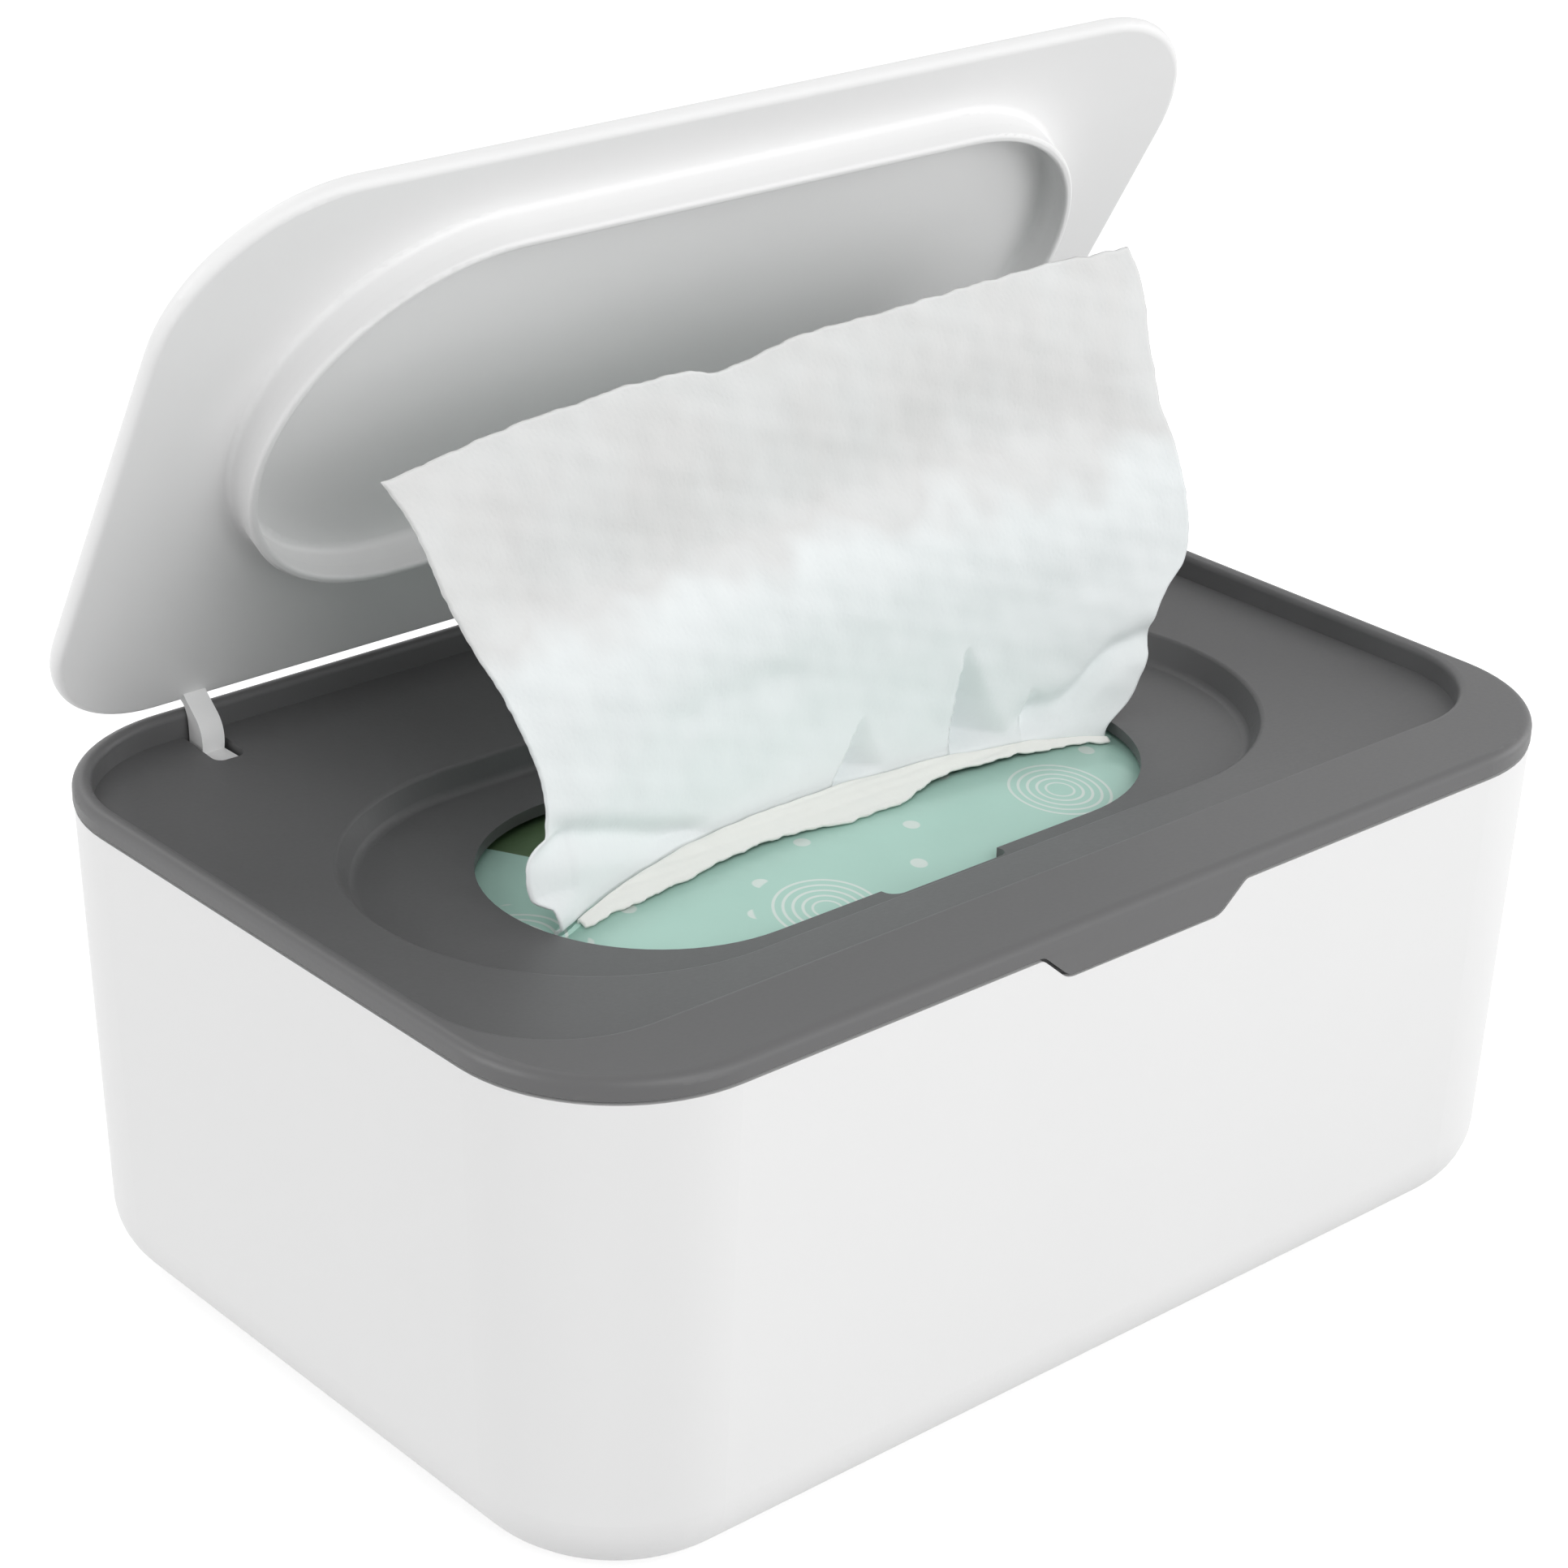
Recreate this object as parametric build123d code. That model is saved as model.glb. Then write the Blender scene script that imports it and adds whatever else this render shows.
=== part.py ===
from build123d import *
import os
from math import radians, tan

# Wipes box: a drafted tub, a dished top frame that plugs into it, and a lid on two gooseneck arms.
# Millimetres. The origin is at the middle of the feet's underside, +Z is up, the front is at -Y.
# The lid is drawn closed and then turned open about the hinge pins, as the box stands in use.

# Whole box
box_width = 192.0
box_depth = 132.6
frame_corner = 25.0

# Feet
foot_height = 1.0
foot_recess = 0.8
foot_radius = 7.0
foot_edge = 0.4
foot_inset_x = 30.0
foot_inset_y = 28.3
foot_clearance = 0.1

# Tub
tub_height = 74.45
tub_step = 0.15
tub_draft = 1.8
tub_wall = 1.8
tub_floor = 2.0
tub_bottom_round = 11.0
mouth_wall = 1.1
mouth_depth = 7.0

# Top frame: rim, dished floor, bowl and mouth
seam_gap = 0.6
rim_height = 3.05
rim_width = 2.8
rim_outer_round = 1.55
rim_inner_round = 1.15
frame_wall = 1.8
front_shelf = 14.7
recess_front_corner = 19.6
recess_wall = 4.0
bowl_end_margin = 18.4
bowl_side_margin = 30.5
bowl_edge_drop = 6.7
bowl_end_slope = 2.3
bowl_side_slope = 1.1
bowl_foot_drop = 10.7
mouth_end_margin = 19.1
mouth_side_margin = 8.7
mouth_drop = 11.8
thumb_notch_width = 22.4
thumb_notch_depth = 2.8
thumb_notch_corner = 2.0
bowl_edge_round = 0.8
bowl_foot_round = 1.5
end_flat = 0.3

# Spigot that plugs the frame into the tub
spigot_clearance = 0.25
spigot_drop = 5.5
spigot_wall = 1.3
snap_length = 30.0
snap_radius = 0.6
snap_height = 0.2
snap_drop = 3.0
snap_front_x = 42.0

# Front tab, which lifts the frame off
tab_top_half = 19.4
tab_bottom_half = 14.4
tab_drop = 4.35
tab_corner = 3.2
tab_clearance = 0.45

# Hinge
hinge_inset = 2.8
hinge_drop = 7.85
open_angle = 60.4
pin_radius = 0.9
pin_chamfer = 0.2
pin_running_clearance = 0.05
arm_inset = 27.2
arm_width = 3.8
arm_side_gap = 0.7
lug_ear = 2.6
lug_radius = 2.1
lug_foot_round = 1.9
lug_clearance = 0.4
slot_reach = 8.9
slot_corner = 1.5
knuckle_gap = 0.4
heel_reach = 1.4
heel_thickness = 1.2
heel_foot_drop = 1.7
heel_gap = 0.25
toe_gap = 0.6
toe_drop = 0.7

# Lid, closed
lid_side_gap = 0.6
lid_front_gap = 5.4
lid_rear_gap = 6.7
lid_thickness = 2.8
lid_proud = 0.5
lid_front_corner = 25.6
lid_rear_corner = 20.7
lid_edge_round = 1.3
ring_end_gap = 1.1
ring_side_gap = 1.2
ring_offset = 1.6
ring_wall = 1.5
ring_height = 4.5
ring_outer_blend = 1.0
ring_inner_blend = 1.2
seal_lip = 1.2
seal_grip = 1.2
seal_wall = 0.4
seal_round = 0.6

# The lid's arm seen from the side, closed: points from the lid's rear edge and underside, then from the pin
arm_front_by_lid = ((-2.2, 0.4), (-1.5, -1.8), (-0.6, -5.2))
arm_front_by_pin = ((-4.6, -2.0), (-0.6, -2.05))
arm_back_by_lid = ((-0.3, 1.4), (-0.1, -1.6))
arm_back_by_pin = ((-4.7, 2.1), (-2.7, 1.0), (0.0, 0.5))

# Refill: film pouch, stack of folded wipes, the wipe pulled up and the next one
pouch_end_gap = 11.8
pouch_side_gap = 9.1
pouch_corner = 10.0
pouch_crown_y = 190.0
pouch_crown_x = 830.0
pouch_shoulder = 9.0
pouch_foot_round = 3.5
pouch_film = 0.5
pouch_rise = 0.3
slit_left_gap = 2.2
slit_right_gap = 1.7
slit_width = 3.2
stack_end_gap = 5.0
stack_side_gap = 3.5
stack_headroom = 13.5
stack_corner = 5.0
wipe_thickness = 0.8
wipe_y = 0.7
next_y = -0.8
next_reach = 8.0
next_height = 2.6
next_lift = 0.5
next_left_gap = 6.0
next_right_gap = 1.0

# The raised wipe, row by row: its height over the pouch's crest, how far its left and right edges stand
# to the right of the slit's ends, and how far back it lies at five places from left to right
wipe_rows = (
    (1.0, 1.0, -1.0, (0.7, 0.8, 0.7, 0.6, 0.7)),
    (7.0, 1.7, 6.8, (-2.0, 1.6, 2.4, 0.6, -3.5)),
    (16.0, 2.9, 9.8, (-1.0, 2.1, 2.7, 0.3, -4.7)),
    (24.0, 1.4, 15.9, (1.0, 2.5, 2.5, 0.0, -4.5)),
    (33.0, -1.8, 16.2, (2.6, 3.1, 2.9, 0.8, -3.4)),
    (46.0, -8.0, 13.1, (5.0, 4.0, 3.5, 2.0, -1.5)),
    (74.0, -21.4, 7.2, (8.3, 5.7, 4.6, 4.0, 3.6)),
)

# Its top edge: the share of the top row's length from the left, and the height over the pouch's crest
wipe_top = ((0.03, 64.9), (0.12, 66.7), (0.24, 69.2), (0.39, 70.2), (0.57, 71.3), (0.75, 72.7), (1.0, 72.6))

# Heights that follow
tub_bottom = foot_height
tub_top = tub_bottom + tub_height
skirt_bottom = tub_top + seam_gap
rim_top = skirt_bottom + rim_height
floor_edge = rim_top - recess_wall
bowl_edge = rim_top - bowl_edge_drop
bowl_foot = rim_top - bowl_foot_drop
mouth_edge = rim_top - mouth_drop
spigot_bottom = skirt_bottom - spigot_drop
lid_top = rim_top + lid_proud
lid_under = lid_top - lid_thickness

# Places that follow
half_width = box_width / 2
half_depth = box_depth / 2
foot_x = half_width - foot_inset_x
foot_y = half_depth - foot_inset_y
recess_half = half_width - rim_width
recess_front = front_shelf - half_depth
recess_rear = half_depth - rim_width
recess_rear_corner = frame_corner - rim_width
hinge_y = half_depth - hinge_inset
hinge_z = rim_top - hinge_drop
spigot_inset = tub_step + mouth_wall + spigot_clearance
bowl_half_length = half_width - bowl_end_margin
bowl_half_width = half_depth - bowl_side_margin
bowl_foot_half_length = bowl_half_length - bowl_end_slope
bowl_foot_half_width = bowl_half_width - bowl_side_slope
mouth_half_length = bowl_foot_half_length - mouth_end_margin
mouth_half_width = bowl_foot_half_width - mouth_side_margin
lid_half = recess_half - lid_side_gap
lid_front = recess_front + lid_front_gap
lid_rear = recess_rear - lid_rear_gap
ring_half_length = bowl_foot_half_length - ring_end_gap
ring_half_width = bowl_foot_half_width - ring_side_gap
ring_y = -ring_offset
ring_crest = lid_under - ring_height
arm_x = lid_half - arm_inset
slot_front = hinge_y - slot_reach
taper_run = (tub_height - tub_floor) * tan(radians(tub_draft))
pouch_half_length = half_width - tub_step - tub_wall - taper_run - pouch_end_gap
pouch_half_width = half_depth - tub_step - tub_wall - taper_run - pouch_side_gap
pouch_bottom = tub_bottom + tub_floor
pouch_crest = mouth_edge - pouch_rise
slit_left = slit_left_gap - mouth_half_length
slit_right = mouth_half_length - slit_right_gap
stack_bottom = pouch_bottom + pouch_film
stack_top = pouch_crest - stack_headroom
next_left = slit_left + next_left_gap
next_right = slit_right - next_right_gap

# How far a cutter passes what it cuts, how far joined pieces run into each other, and what counts as level
over = 5.0
bite = 0.5
near = 0.01


def outline(half, front, rear, front_corner, rear_corner, z):
    """A rectangle from -half to half and from front to rear, its corners rounded, as a face at height z."""
    arcs = [
        CenterArc((half - rear_corner, rear - rear_corner), rear_corner, 0, 90),
        CenterArc((rear_corner - half, rear - rear_corner), rear_corner, 90, 90),
        CenterArc((front_corner - half, front + front_corner), front_corner, 180, 90),
        CenterArc((half - front_corner, front + front_corner), front_corner, 270, 90),
    ]
    edges = []
    for arc, following in zip(arcs, arcs[1:] + arcs[:1]):
        edges.append(arc)
        edges.append(Line(arc @ 1, following @ 0))
    return Pos(0, 0, z) * make_face(edges)


def stadium(half_length, half_width, centre, z):
    """A long round-ended shape as a face at height z. A short flat at each end gives it eight edges."""
    corner = half_width - end_flat / 2
    return outline(half_length, centre - half_width, centre + half_width, corner, corner, z)


def prism(face, height):
    return extrude(face, amount=height, dir=(0, 0, 1))


def drafted(inset, floor, z_top, corner):
    """The tub's tapered block: its top outline drawn in by inset, down to floor, its bottom edge rounded."""
    outer_corner = frame_corner - tub_step
    side = RectangleRounded(
        box_width - 2 * (tub_step + inset), box_depth - 2 * (tub_step + inset), outer_corner - inset
    )
    down = Plane(origin=(0, 0, z_top), z_dir=(0, 0, -1))
    block = extrude(down * side, amount=z_top - floor, taper=tub_draft)
    return fillet(block.faces().sort_by(Axis.Z)[0].edges(), corner)


def foot_places():
    return {
        "foot_front_left": (-foot_x, -foot_y),
        "foot_front_right": (foot_x, -foot_y),
        "foot_rear_left": (-foot_x, foot_y),
        "foot_rear_right": (foot_x, foot_y),
    }


def tab_profile():
    """The front tab seen from the front, hung from a strip inside the rim."""
    strip = tab_top_half + 2 * tab_corner
    corners = [
        (-strip, skirt_bottom + bite),
        (-strip, skirt_bottom),
        (-tab_top_half, skirt_bottom),
        (-tab_bottom_half, skirt_bottom - tab_drop),
        (tab_bottom_half, skirt_bottom - tab_drop),
        (tab_top_half, skirt_bottom),
        (strip, skirt_bottom),
        (strip, skirt_bottom + bite),
    ]
    shape = make_face(Polyline(*corners, close=True))
    low = shape.vertices().filter_by(lambda v: v.Y < skirt_bottom + near)
    return fillet([v for v in low if abs(v.X) < tab_top_half + near], tab_corner)


def front_plate(profile, y_out, y_in):
    """A profile drawn in X and Z, made a plate from y_out to y_in."""
    plane = Plane(origin=(0, y_in, 0), x_dir=(1, 0, 0), z_dir=(0, -1, 0))
    return extrude(plane * profile, amount=y_in - y_out)


def lug_half():
    return arm_width / 2 + arm_side_gap + lug_ear


def lug_outer():
    """The hinge lug's back is flush with the tub's drafted wall at the hinge's height."""
    return half_depth - tub_step - (tub_top - hinge_z) * tan(radians(tub_draft))


def block(x0, x1, y0, y1, z0, z1):
    return Pos((x0 + x1) / 2, (y0 + y1) / 2, (z0 + z1) / 2) * Box(x1 - x0, y1 - y0, z1 - z0)


def make_tub():
    outer = drafted(0, tub_bottom, tub_top, tub_bottom_round)
    inner = drafted(tub_wall, tub_bottom + tub_floor, tub_top, tub_bottom_round - tub_wall)
    tub = outer - inner
    mouth = outline(
        half_width - tub_step - mouth_wall,
        mouth_wall + tub_step - half_depth,
        half_depth - tub_step - mouth_wall,
        frame_corner - tub_step - mouth_wall,
        frame_corner - tub_step - mouth_wall,
        tub_top - mouth_depth,
    )
    tub -= prism(mouth, mouth_depth + over)
    wall = tub_step + tub_wall + over
    notch = offset(tab_profile(), amount=tab_clearance)
    tub -= front_plate(notch, -half_depth - over, wall - half_depth)
    lug_low = hinge_z - lug_radius - lug_clearance
    for side in (-1, 1):
        x0 = side * arm_x - lug_half() - lug_clearance
        x1 = side * arm_x + lug_half() + lug_clearance
        rear_notch = block(x0, x1, half_depth - wall, half_depth + over, lug_low, tub_top + over)
        low = [e for e in rear_notch.edges().filter_by(Axis.Y) if e.center().Z < lug_low + near]
        tub -= fillet(low, lug_radius)
    for x, y in foot_places().values():
        tub -= Pos(x, y, tub_bottom) * Cylinder(
            foot_radius + foot_clearance, foot_recess, align=(Align.CENTER, Align.CENTER, Align.MIN)
        )
    for bead in snap_beads(snap_radius + spigot_clearance):
        tub -= bead
    return tub


def snap_beads(radius):
    """Four short round beads along the spigot: one on each side wall and two at the front."""
    z = skirt_bottom - snap_drop
    face_x = half_width - spigot_inset
    face_y = half_depth - spigot_inset
    sunk = snap_radius - snap_height
    beads = []
    for side in (-1, 1):
        at_side = Pos(side * (face_x - sunk), 0, z) * Rot(90, 0, 0)
        at_front = Pos(side * snap_front_x, sunk - face_y, z) * Rot(0, 90, 0)
        beads.append(at_side * Cylinder(radius, snap_length))
        beads.append(at_front * Cylinder(radius, snap_length))
    return beads


def dish(grow, drop, top):
    """The recess, its dished floor and the bowl as one solid, grown, lowered and filled up to top."""
    rim = outline(
        recess_half + grow,
        recess_front - grow,
        recess_rear + grow,
        recess_front_corner + grow,
        recess_rear_corner + grow,
        floor_edge - drop,
    )
    edge = stadium(bowl_half_length + grow, bowl_half_width + grow, 0, bowl_edge - drop)
    foot = stadium(bowl_foot_half_length + grow, bowl_foot_half_width + grow, 0, bowl_foot - drop)
    mouth = stadium(mouth_half_length, mouth_half_width, 0, mouth_edge - drop)
    solid = prism(rim, top - (floor_edge - drop))
    for upper, lower in ((rim, edge), (edge, foot), (foot, mouth)):
        solid += loft([lower, upper], ruled=True)
    return solid


def level_loop(shape, z, half_length):
    """The level edges at height z that lie within half_length of the middle."""
    level = [e for e in shape.edges() if abs(e.center().Z - z) < near and e.bounding_box().size.Z < near]
    return [e for e in level if abs(e.center().X) < half_length + near]


def make_frame():
    slab_face = outline(half_width, -half_depth, half_depth, frame_corner, frame_corner, skirt_bottom)
    slab = prism(slab_face, rim_height)
    slab = fillet(slab.faces().sort_by(Axis.Z)[-1].edges(), rim_outer_round)
    corner = frame_corner - spigot_inset
    spigot_face = outline(
        half_width - spigot_inset,
        spigot_inset - half_depth,
        half_depth - spigot_inset,
        corner,
        corner,
        spigot_bottom,
    )
    pan = dish(spigot_wall, frame_wall, rim_top - frame_wall)
    frame = slab + prism(spigot_face, spigot_drop) + pan
    corner -= spigot_wall
    inside = spigot_inset + spigot_wall
    hollow_bottom = mouth_edge - frame_wall - over
    hollow_face = outline(
        half_width - inside,
        inside - half_depth,
        half_depth - inside,
        corner,
        corner,
        hollow_bottom,
    )
    hollow = prism(hollow_face, rim_top - frame_wall - hollow_bottom)
    frame -= hollow - pan
    frame += front_plate(tab_profile(), tub_step - half_depth, spigot_inset - half_depth)
    for side in (-1, 1):
        lug = block(
            side * arm_x - lug_half(),
            side * arm_x + lug_half(),
            hinge_y - lug_radius,
            lug_outer(),
            hinge_z - lug_radius,
            skirt_bottom + bite,
        )
        low = [e for e in lug.edges().filter_by(Axis.X) if e.center().Z < hinge_z]
        frame += fillet(low, lug_foot_round)
    for bead in snap_beads(snap_radius):
        frame += bead
    frame -= dish(0, 0, rim_top + over)
    rim_face = frame.faces().sort_by(Axis.Z)[-1]
    frame = fillet(rim_face.inner_wires()[0].edges(), rim_inner_round)
    frame = fillet(level_loop(frame, bowl_edge, bowl_half_length), bowl_edge_round)
    frame = fillet(level_loop(frame, bowl_foot, bowl_foot_half_length), bowl_foot_round)
    mouth = stadium(mouth_half_length, mouth_half_width, 0, mouth_edge - frame_wall - over)
    frame -= prism(mouth, over + frame_wall + near)
    notch_long = thumb_notch_depth + 2 * thumb_notch_corner + over
    notch_front = -mouth_half_width - thumb_notch_depth
    at_notch = Pos(0, notch_front + notch_long / 2, hollow_bottom)
    notch = at_notch * RectangleRounded(thumb_notch_width, notch_long, thumb_notch_corner)
    frame -= prism(notch, 2 * over + frame_wall)
    for side in (-1, 1):
        half = arm_width / 2 + arm_side_gap
        low = hinge_z - lug_radius - over
        slot_long = recess_rear - slot_front + over
        at_slot = Pos(side * arm_x, slot_front + slot_long / 2, low)
        slot = at_slot * RectangleRounded(2 * half, slot_long, slot_corner)
        x0 = side * arm_x - half
        x1 = side * arm_x + half
        cut = prism(slot, rim_top - low)
        cut &= block(x0 - over, x1 + over, 0, recess_rear, low, rim_top)
        frame -= cut
        knuckle_top = hinge_z + lug_radius + knuckle_gap
        frame -= block(x0, x1, slot_front + slot_corner, half_depth + over, low, knuckle_top)
        frame -= at_pin(side) * Cylinder(pin_radius, 2 * lug_half() + over)
    return frame


def at_pin(side):
    """The middle of one arm's pin, along X."""
    return Pos(side * arm_x, hinge_y, hinge_z) * Rot(0, 90, 0)


def turned(shape, degrees):
    """Turned about the hinge pins, positive towards closed."""
    to_pins = Pos(0, hinge_y, hinge_z)
    return to_pins * Rot(degrees, 0, 0) * to_pins.inverse() * shape


def ring_face(inset, z):
    return Pos(0, ring_y, z) * SlotOverall(2 * (ring_half_length - inset), 2 * (ring_half_width - inset))


def arm_profile():
    """The gooseneck seen from the side, closed: from the lid's rear edge down to the pin."""
    lid_edge = Vector(lid_rear, lid_under)
    pin = Vector(hinge_y, hinge_z)
    front_points = [lid_edge + p for p in arm_front_by_lid] + [pin + p for p in arm_front_by_pin]
    back_points = [lid_edge + p for p in arm_back_by_lid] + [pin + p for p in arm_back_by_pin]
    front = Spline(*front_points)
    back = Spline(*back_points)
    return make_face([front, Line(front @ 1, back @ 1), back, Line(back @ 0, front @ 0)])


def side_plate(face, x_centre, thickness):
    """A face drawn in Y and Z, made a plate about x_centre."""
    plane = Plane(origin=(x_centre - thickness / 2, 0, 0), x_dir=(0, 1, 0), z_dir=(1, 0, 0))
    return extrude(plane * face, amount=thickness)


def make_lid():
    face = outline(lid_half, lid_front, lid_rear, lid_front_corner, lid_rear_corner, lid_under)
    plate = prism(face, lid_thickness)
    flat = [e for e in plate.edges() if e.bounding_box().size.Z < near]
    plate = fillet(flat, lid_edge_round)
    lid = plate + prism(ring_face(0, ring_crest), ring_height + bite)
    level = lid.edges().filter_by(lambda e: abs(e.center().Z - lid_under) < near)
    base = [e for e in level if abs(e.center().Y - ring_y) < ring_half_width + near]
    lid = fillet([e for e in base if abs(e.center().X) < ring_half_length + near], ring_outer_blend)
    pocket = prism(ring_face(ring_wall, ring_crest - over), ring_height + over)
    lid -= fillet(pocket.faces().sort_by(Axis.Z)[-1].edges(), ring_inner_blend)
    around_seal = prism(ring_face(seal_wall, ring_crest), seal_grip)
    lid -= prism(ring_face(-over, ring_crest), seal_grip) - around_seal
    lid -= prism(ring_face(ring_wall - seal_wall, ring_crest), seal_grip)
    for side in (-1, 1):
        lid += side_plate(arm_profile(), side * arm_x, arm_width)
        lid += at_pin(side) * Cylinder(lug_radius, arm_width)
    lid = turned(lid, -open_angle)
    for side in (-1, 1):
        lid += make_heel(side)
        lid -= at_pin(side) * Cylinder(pin_radius + pin_running_clearance, arm_width + over)
    return lid


def floor_under(y):
    """The height of the dished floor's underside behind the bowl."""
    share = (y - bowl_half_width) / (recess_rear - bowl_half_width)
    return bowl_edge + share * (floor_edge - bowl_edge) - frame_wall


def make_heel(side):
    """The arm's heel. It comes up under the floor in front of the slot and stops the lid, and its toe fills
    the slot to a little below the floor."""
    tip = slot_front - heel_reach
    top = floor_under(tip) - heel_gap
    toe = slot_front + toe_gap
    toe_top = floor_under(slot_front) + frame_wall - toe_drop
    corners = [
        (hinge_y - lug_radius, toe_top),
        (toe, toe_top),
        (toe, top),
        (tip, top),
        (tip, top - heel_thickness),
        (hinge_y - heel_thickness, hinge_z - heel_foot_drop),
    ]
    return side_plate(make_face(Polyline(*corners, close=True)), side * arm_x, arm_width)


def make_seal():
    """A soft lip in a U round the ring's crest."""
    low = ring_crest - seal_lip
    tall = seal_lip + seal_grip
    seal = prism(ring_face(0, low), tall) - prism(ring_face(ring_wall, low), tall)
    groove = prism(ring_face(seal_wall, ring_crest), seal_grip)
    seal -= groove - prism(ring_face(ring_wall - seal_wall, ring_crest), seal_grip)
    tip = [e for e in seal.edges() if abs(e.center().Z - low) < near]
    return turned(fillet(tip, seal_round), -open_angle)


def make_pin(side):
    pin = Cylinder(pin_radius, 2 * lug_half())
    pin = chamfer(pin.edges().filter_by(GeomType.CIRCLE), pin_chamfer)
    return at_pin(side) * pin


def make_foot(x, y):
    foot = Cylinder(foot_radius, foot_height + foot_recess, align=(Align.CENTER, Align.CENTER, Align.MIN))
    foot = fillet(foot.edges().sort_by(Axis.Z)[0], foot_edge)
    return Pos(x, y, 0) * foot


def pouch_block(inset):
    """The filled pouch: a crowned pillow on the tub's floor, drawn in by inset on every side."""
    bottom = pouch_bottom + inset
    top = pouch_crest - inset
    length = 2 * (pouch_half_length - inset)
    width = 2 * (pouch_half_width - inset)
    plan = Pos(0, 0, bottom) * RectangleRounded(length, width, pouch_corner - inset)
    pillow = prism(plan, top - bottom)
    pillow = fillet(pillow.faces().sort_by(Axis.Z)[-1].edges(), pouch_shoulder - inset)
    pillow = fillet(pillow.faces().sort_by(Axis.Z)[0].edges(), pouch_foot_round - inset)
    crown = Torus(pouch_crown_x - pouch_crown_y, pouch_crown_y)
    return pillow & Pos(0, 0, top - pouch_crown_x) * Rot(90, 0, 0) * crown


def make_pouch():
    """The pouch as a closed skin of film, with the slit as its only opening."""
    pouch = pouch_block(0) - pouch_block(pouch_film)
    reach = stack_headroom - over
    half = slit_width / 2
    return pouch - block(slit_left, slit_right, -half, half, pouch_crest - reach, pouch_crest + over)


def make_stack():
    length = 2 * (pouch_half_length - stack_end_gap)
    width = 2 * (pouch_half_width - stack_side_gap)
    plan = Pos(0, 0, stack_bottom) * RectangleRounded(length, width, stack_corner)
    return prism(plan, stack_top - stack_bottom)


def wipe_section(z, left, right, waves):
    """The raised wipe cut level at z: a thin strip from left to right that waves to and fro in Y."""
    steps = len(waves) - 1
    across = [left + (right - left) * i / steps for i in range(steps + 1)]
    front = [Vector(x, y - wipe_thickness / 2, z) for x, y in zip(across, waves)]
    back = [Vector(x, y + wipe_thickness / 2, z) for x, y in zip(across, waves)]
    edges = []
    for i in range(0, steps, 2):
        edges.append(ThreePointArc(front[i], front[i + 1], front[i + 2]))
    edges.append(Line(front[-1], back[-1]))
    for i in range(steps, 0, -2):
        edges.append(ThreePointArc(back[i], back[i - 1], back[i - 2]))
    edges.append(Line(back[0], front[0]))
    return make_face(edges)


def make_raised_wipe():
    """The wipe pulled up through the slit: gathered in the slit, spread and waved above it."""
    edges = [(slit_left + to_left, slit_right + to_right) for _, to_left, to_right, _ in wipe_rows]
    sections = [wipe_section(stack_top, *edges[0], wipe_rows[0][3])]
    for (height, _, _, waves), (left, right) in zip(wipe_rows, edges):
        sections.append(wipe_section(pouch_crest + height, left, right, waves))
    sheet = loft(sections[:2], ruled=True)
    for lower, upper in zip(sections[1:], sections[2:]):
        sheet += loft([lower, upper], ruled=True)
    left, right = edges[-1]
    top = [(left + (right - left) * share, pouch_crest + height) for share, height in wipe_top]
    roof = pouch_crest + wipe_rows[-1][0] + over
    corners = [
        (left - over, roof),
        (left - over, top[0][1]),
        *top,
        (right + over, top[-1][1]),
        (right + over, roof),
    ]
    return sheet - front_plate(make_face(Polyline(*corners, close=True)), -half_depth, half_depth)


def make_next_wipe():
    """The next wipe's folded edge: a stem in the slit and a soft flap that lies forward over the film."""
    flap_bottom = pouch_crest + next_lift
    stem_front = next_y - wipe_thickness / 2
    stem_back = next_y + wipe_thickness / 2
    fold = flap_bottom + next_height / 2
    stem = block(next_left, next_right, stem_front, stem_back, stack_top, fold)
    crown = (-next_reach / 2, flap_bottom + next_height)
    tip = (-next_reach, flap_bottom + bite)
    flap = make_face([
        ThreePointArc((stem_back, fold), crown, tip),
        Line(tip, (-next_reach, flap_bottom)),
        Line((-next_reach, flap_bottom), (stem_back, flap_bottom)),
        Line((stem_back, flap_bottom), (stem_back, fold)),
    ])
    return stem + side_plate(flap, (next_left + next_right) / 2, next_right - next_left)


def save(name, shape):
    shape = shape if isinstance(shape, (Solid, Compound, Part)) else Compound(shape)
    export_step(shape, os.path.join("parts", name + ".step"))


def main():
    os.makedirs("parts", exist_ok=True)
    save("box_body", make_tub())
    save("top_frame", make_frame())
    save("lid", make_lid())
    save("lid_seal", make_seal())
    save("hinge_pin_left", make_pin(-1))
    save("hinge_pin_right", make_pin(1))
    for name, (x, y) in foot_places().items():
        save(name, make_foot(x, y))
    save("refill_pouch", make_pouch())
    save("wipe_stack", make_stack())
    save("raised_wipe", make_raised_wipe())
    save("next_wipe", make_next_wipe())


main()
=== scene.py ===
"""Finishes for a lidded wipes box: moulded shells, printed film refill, damp wipes, and a studio stage."""

import bmesh
import bpy
import numpy as np
from mathutils import Matrix, Vector


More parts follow.
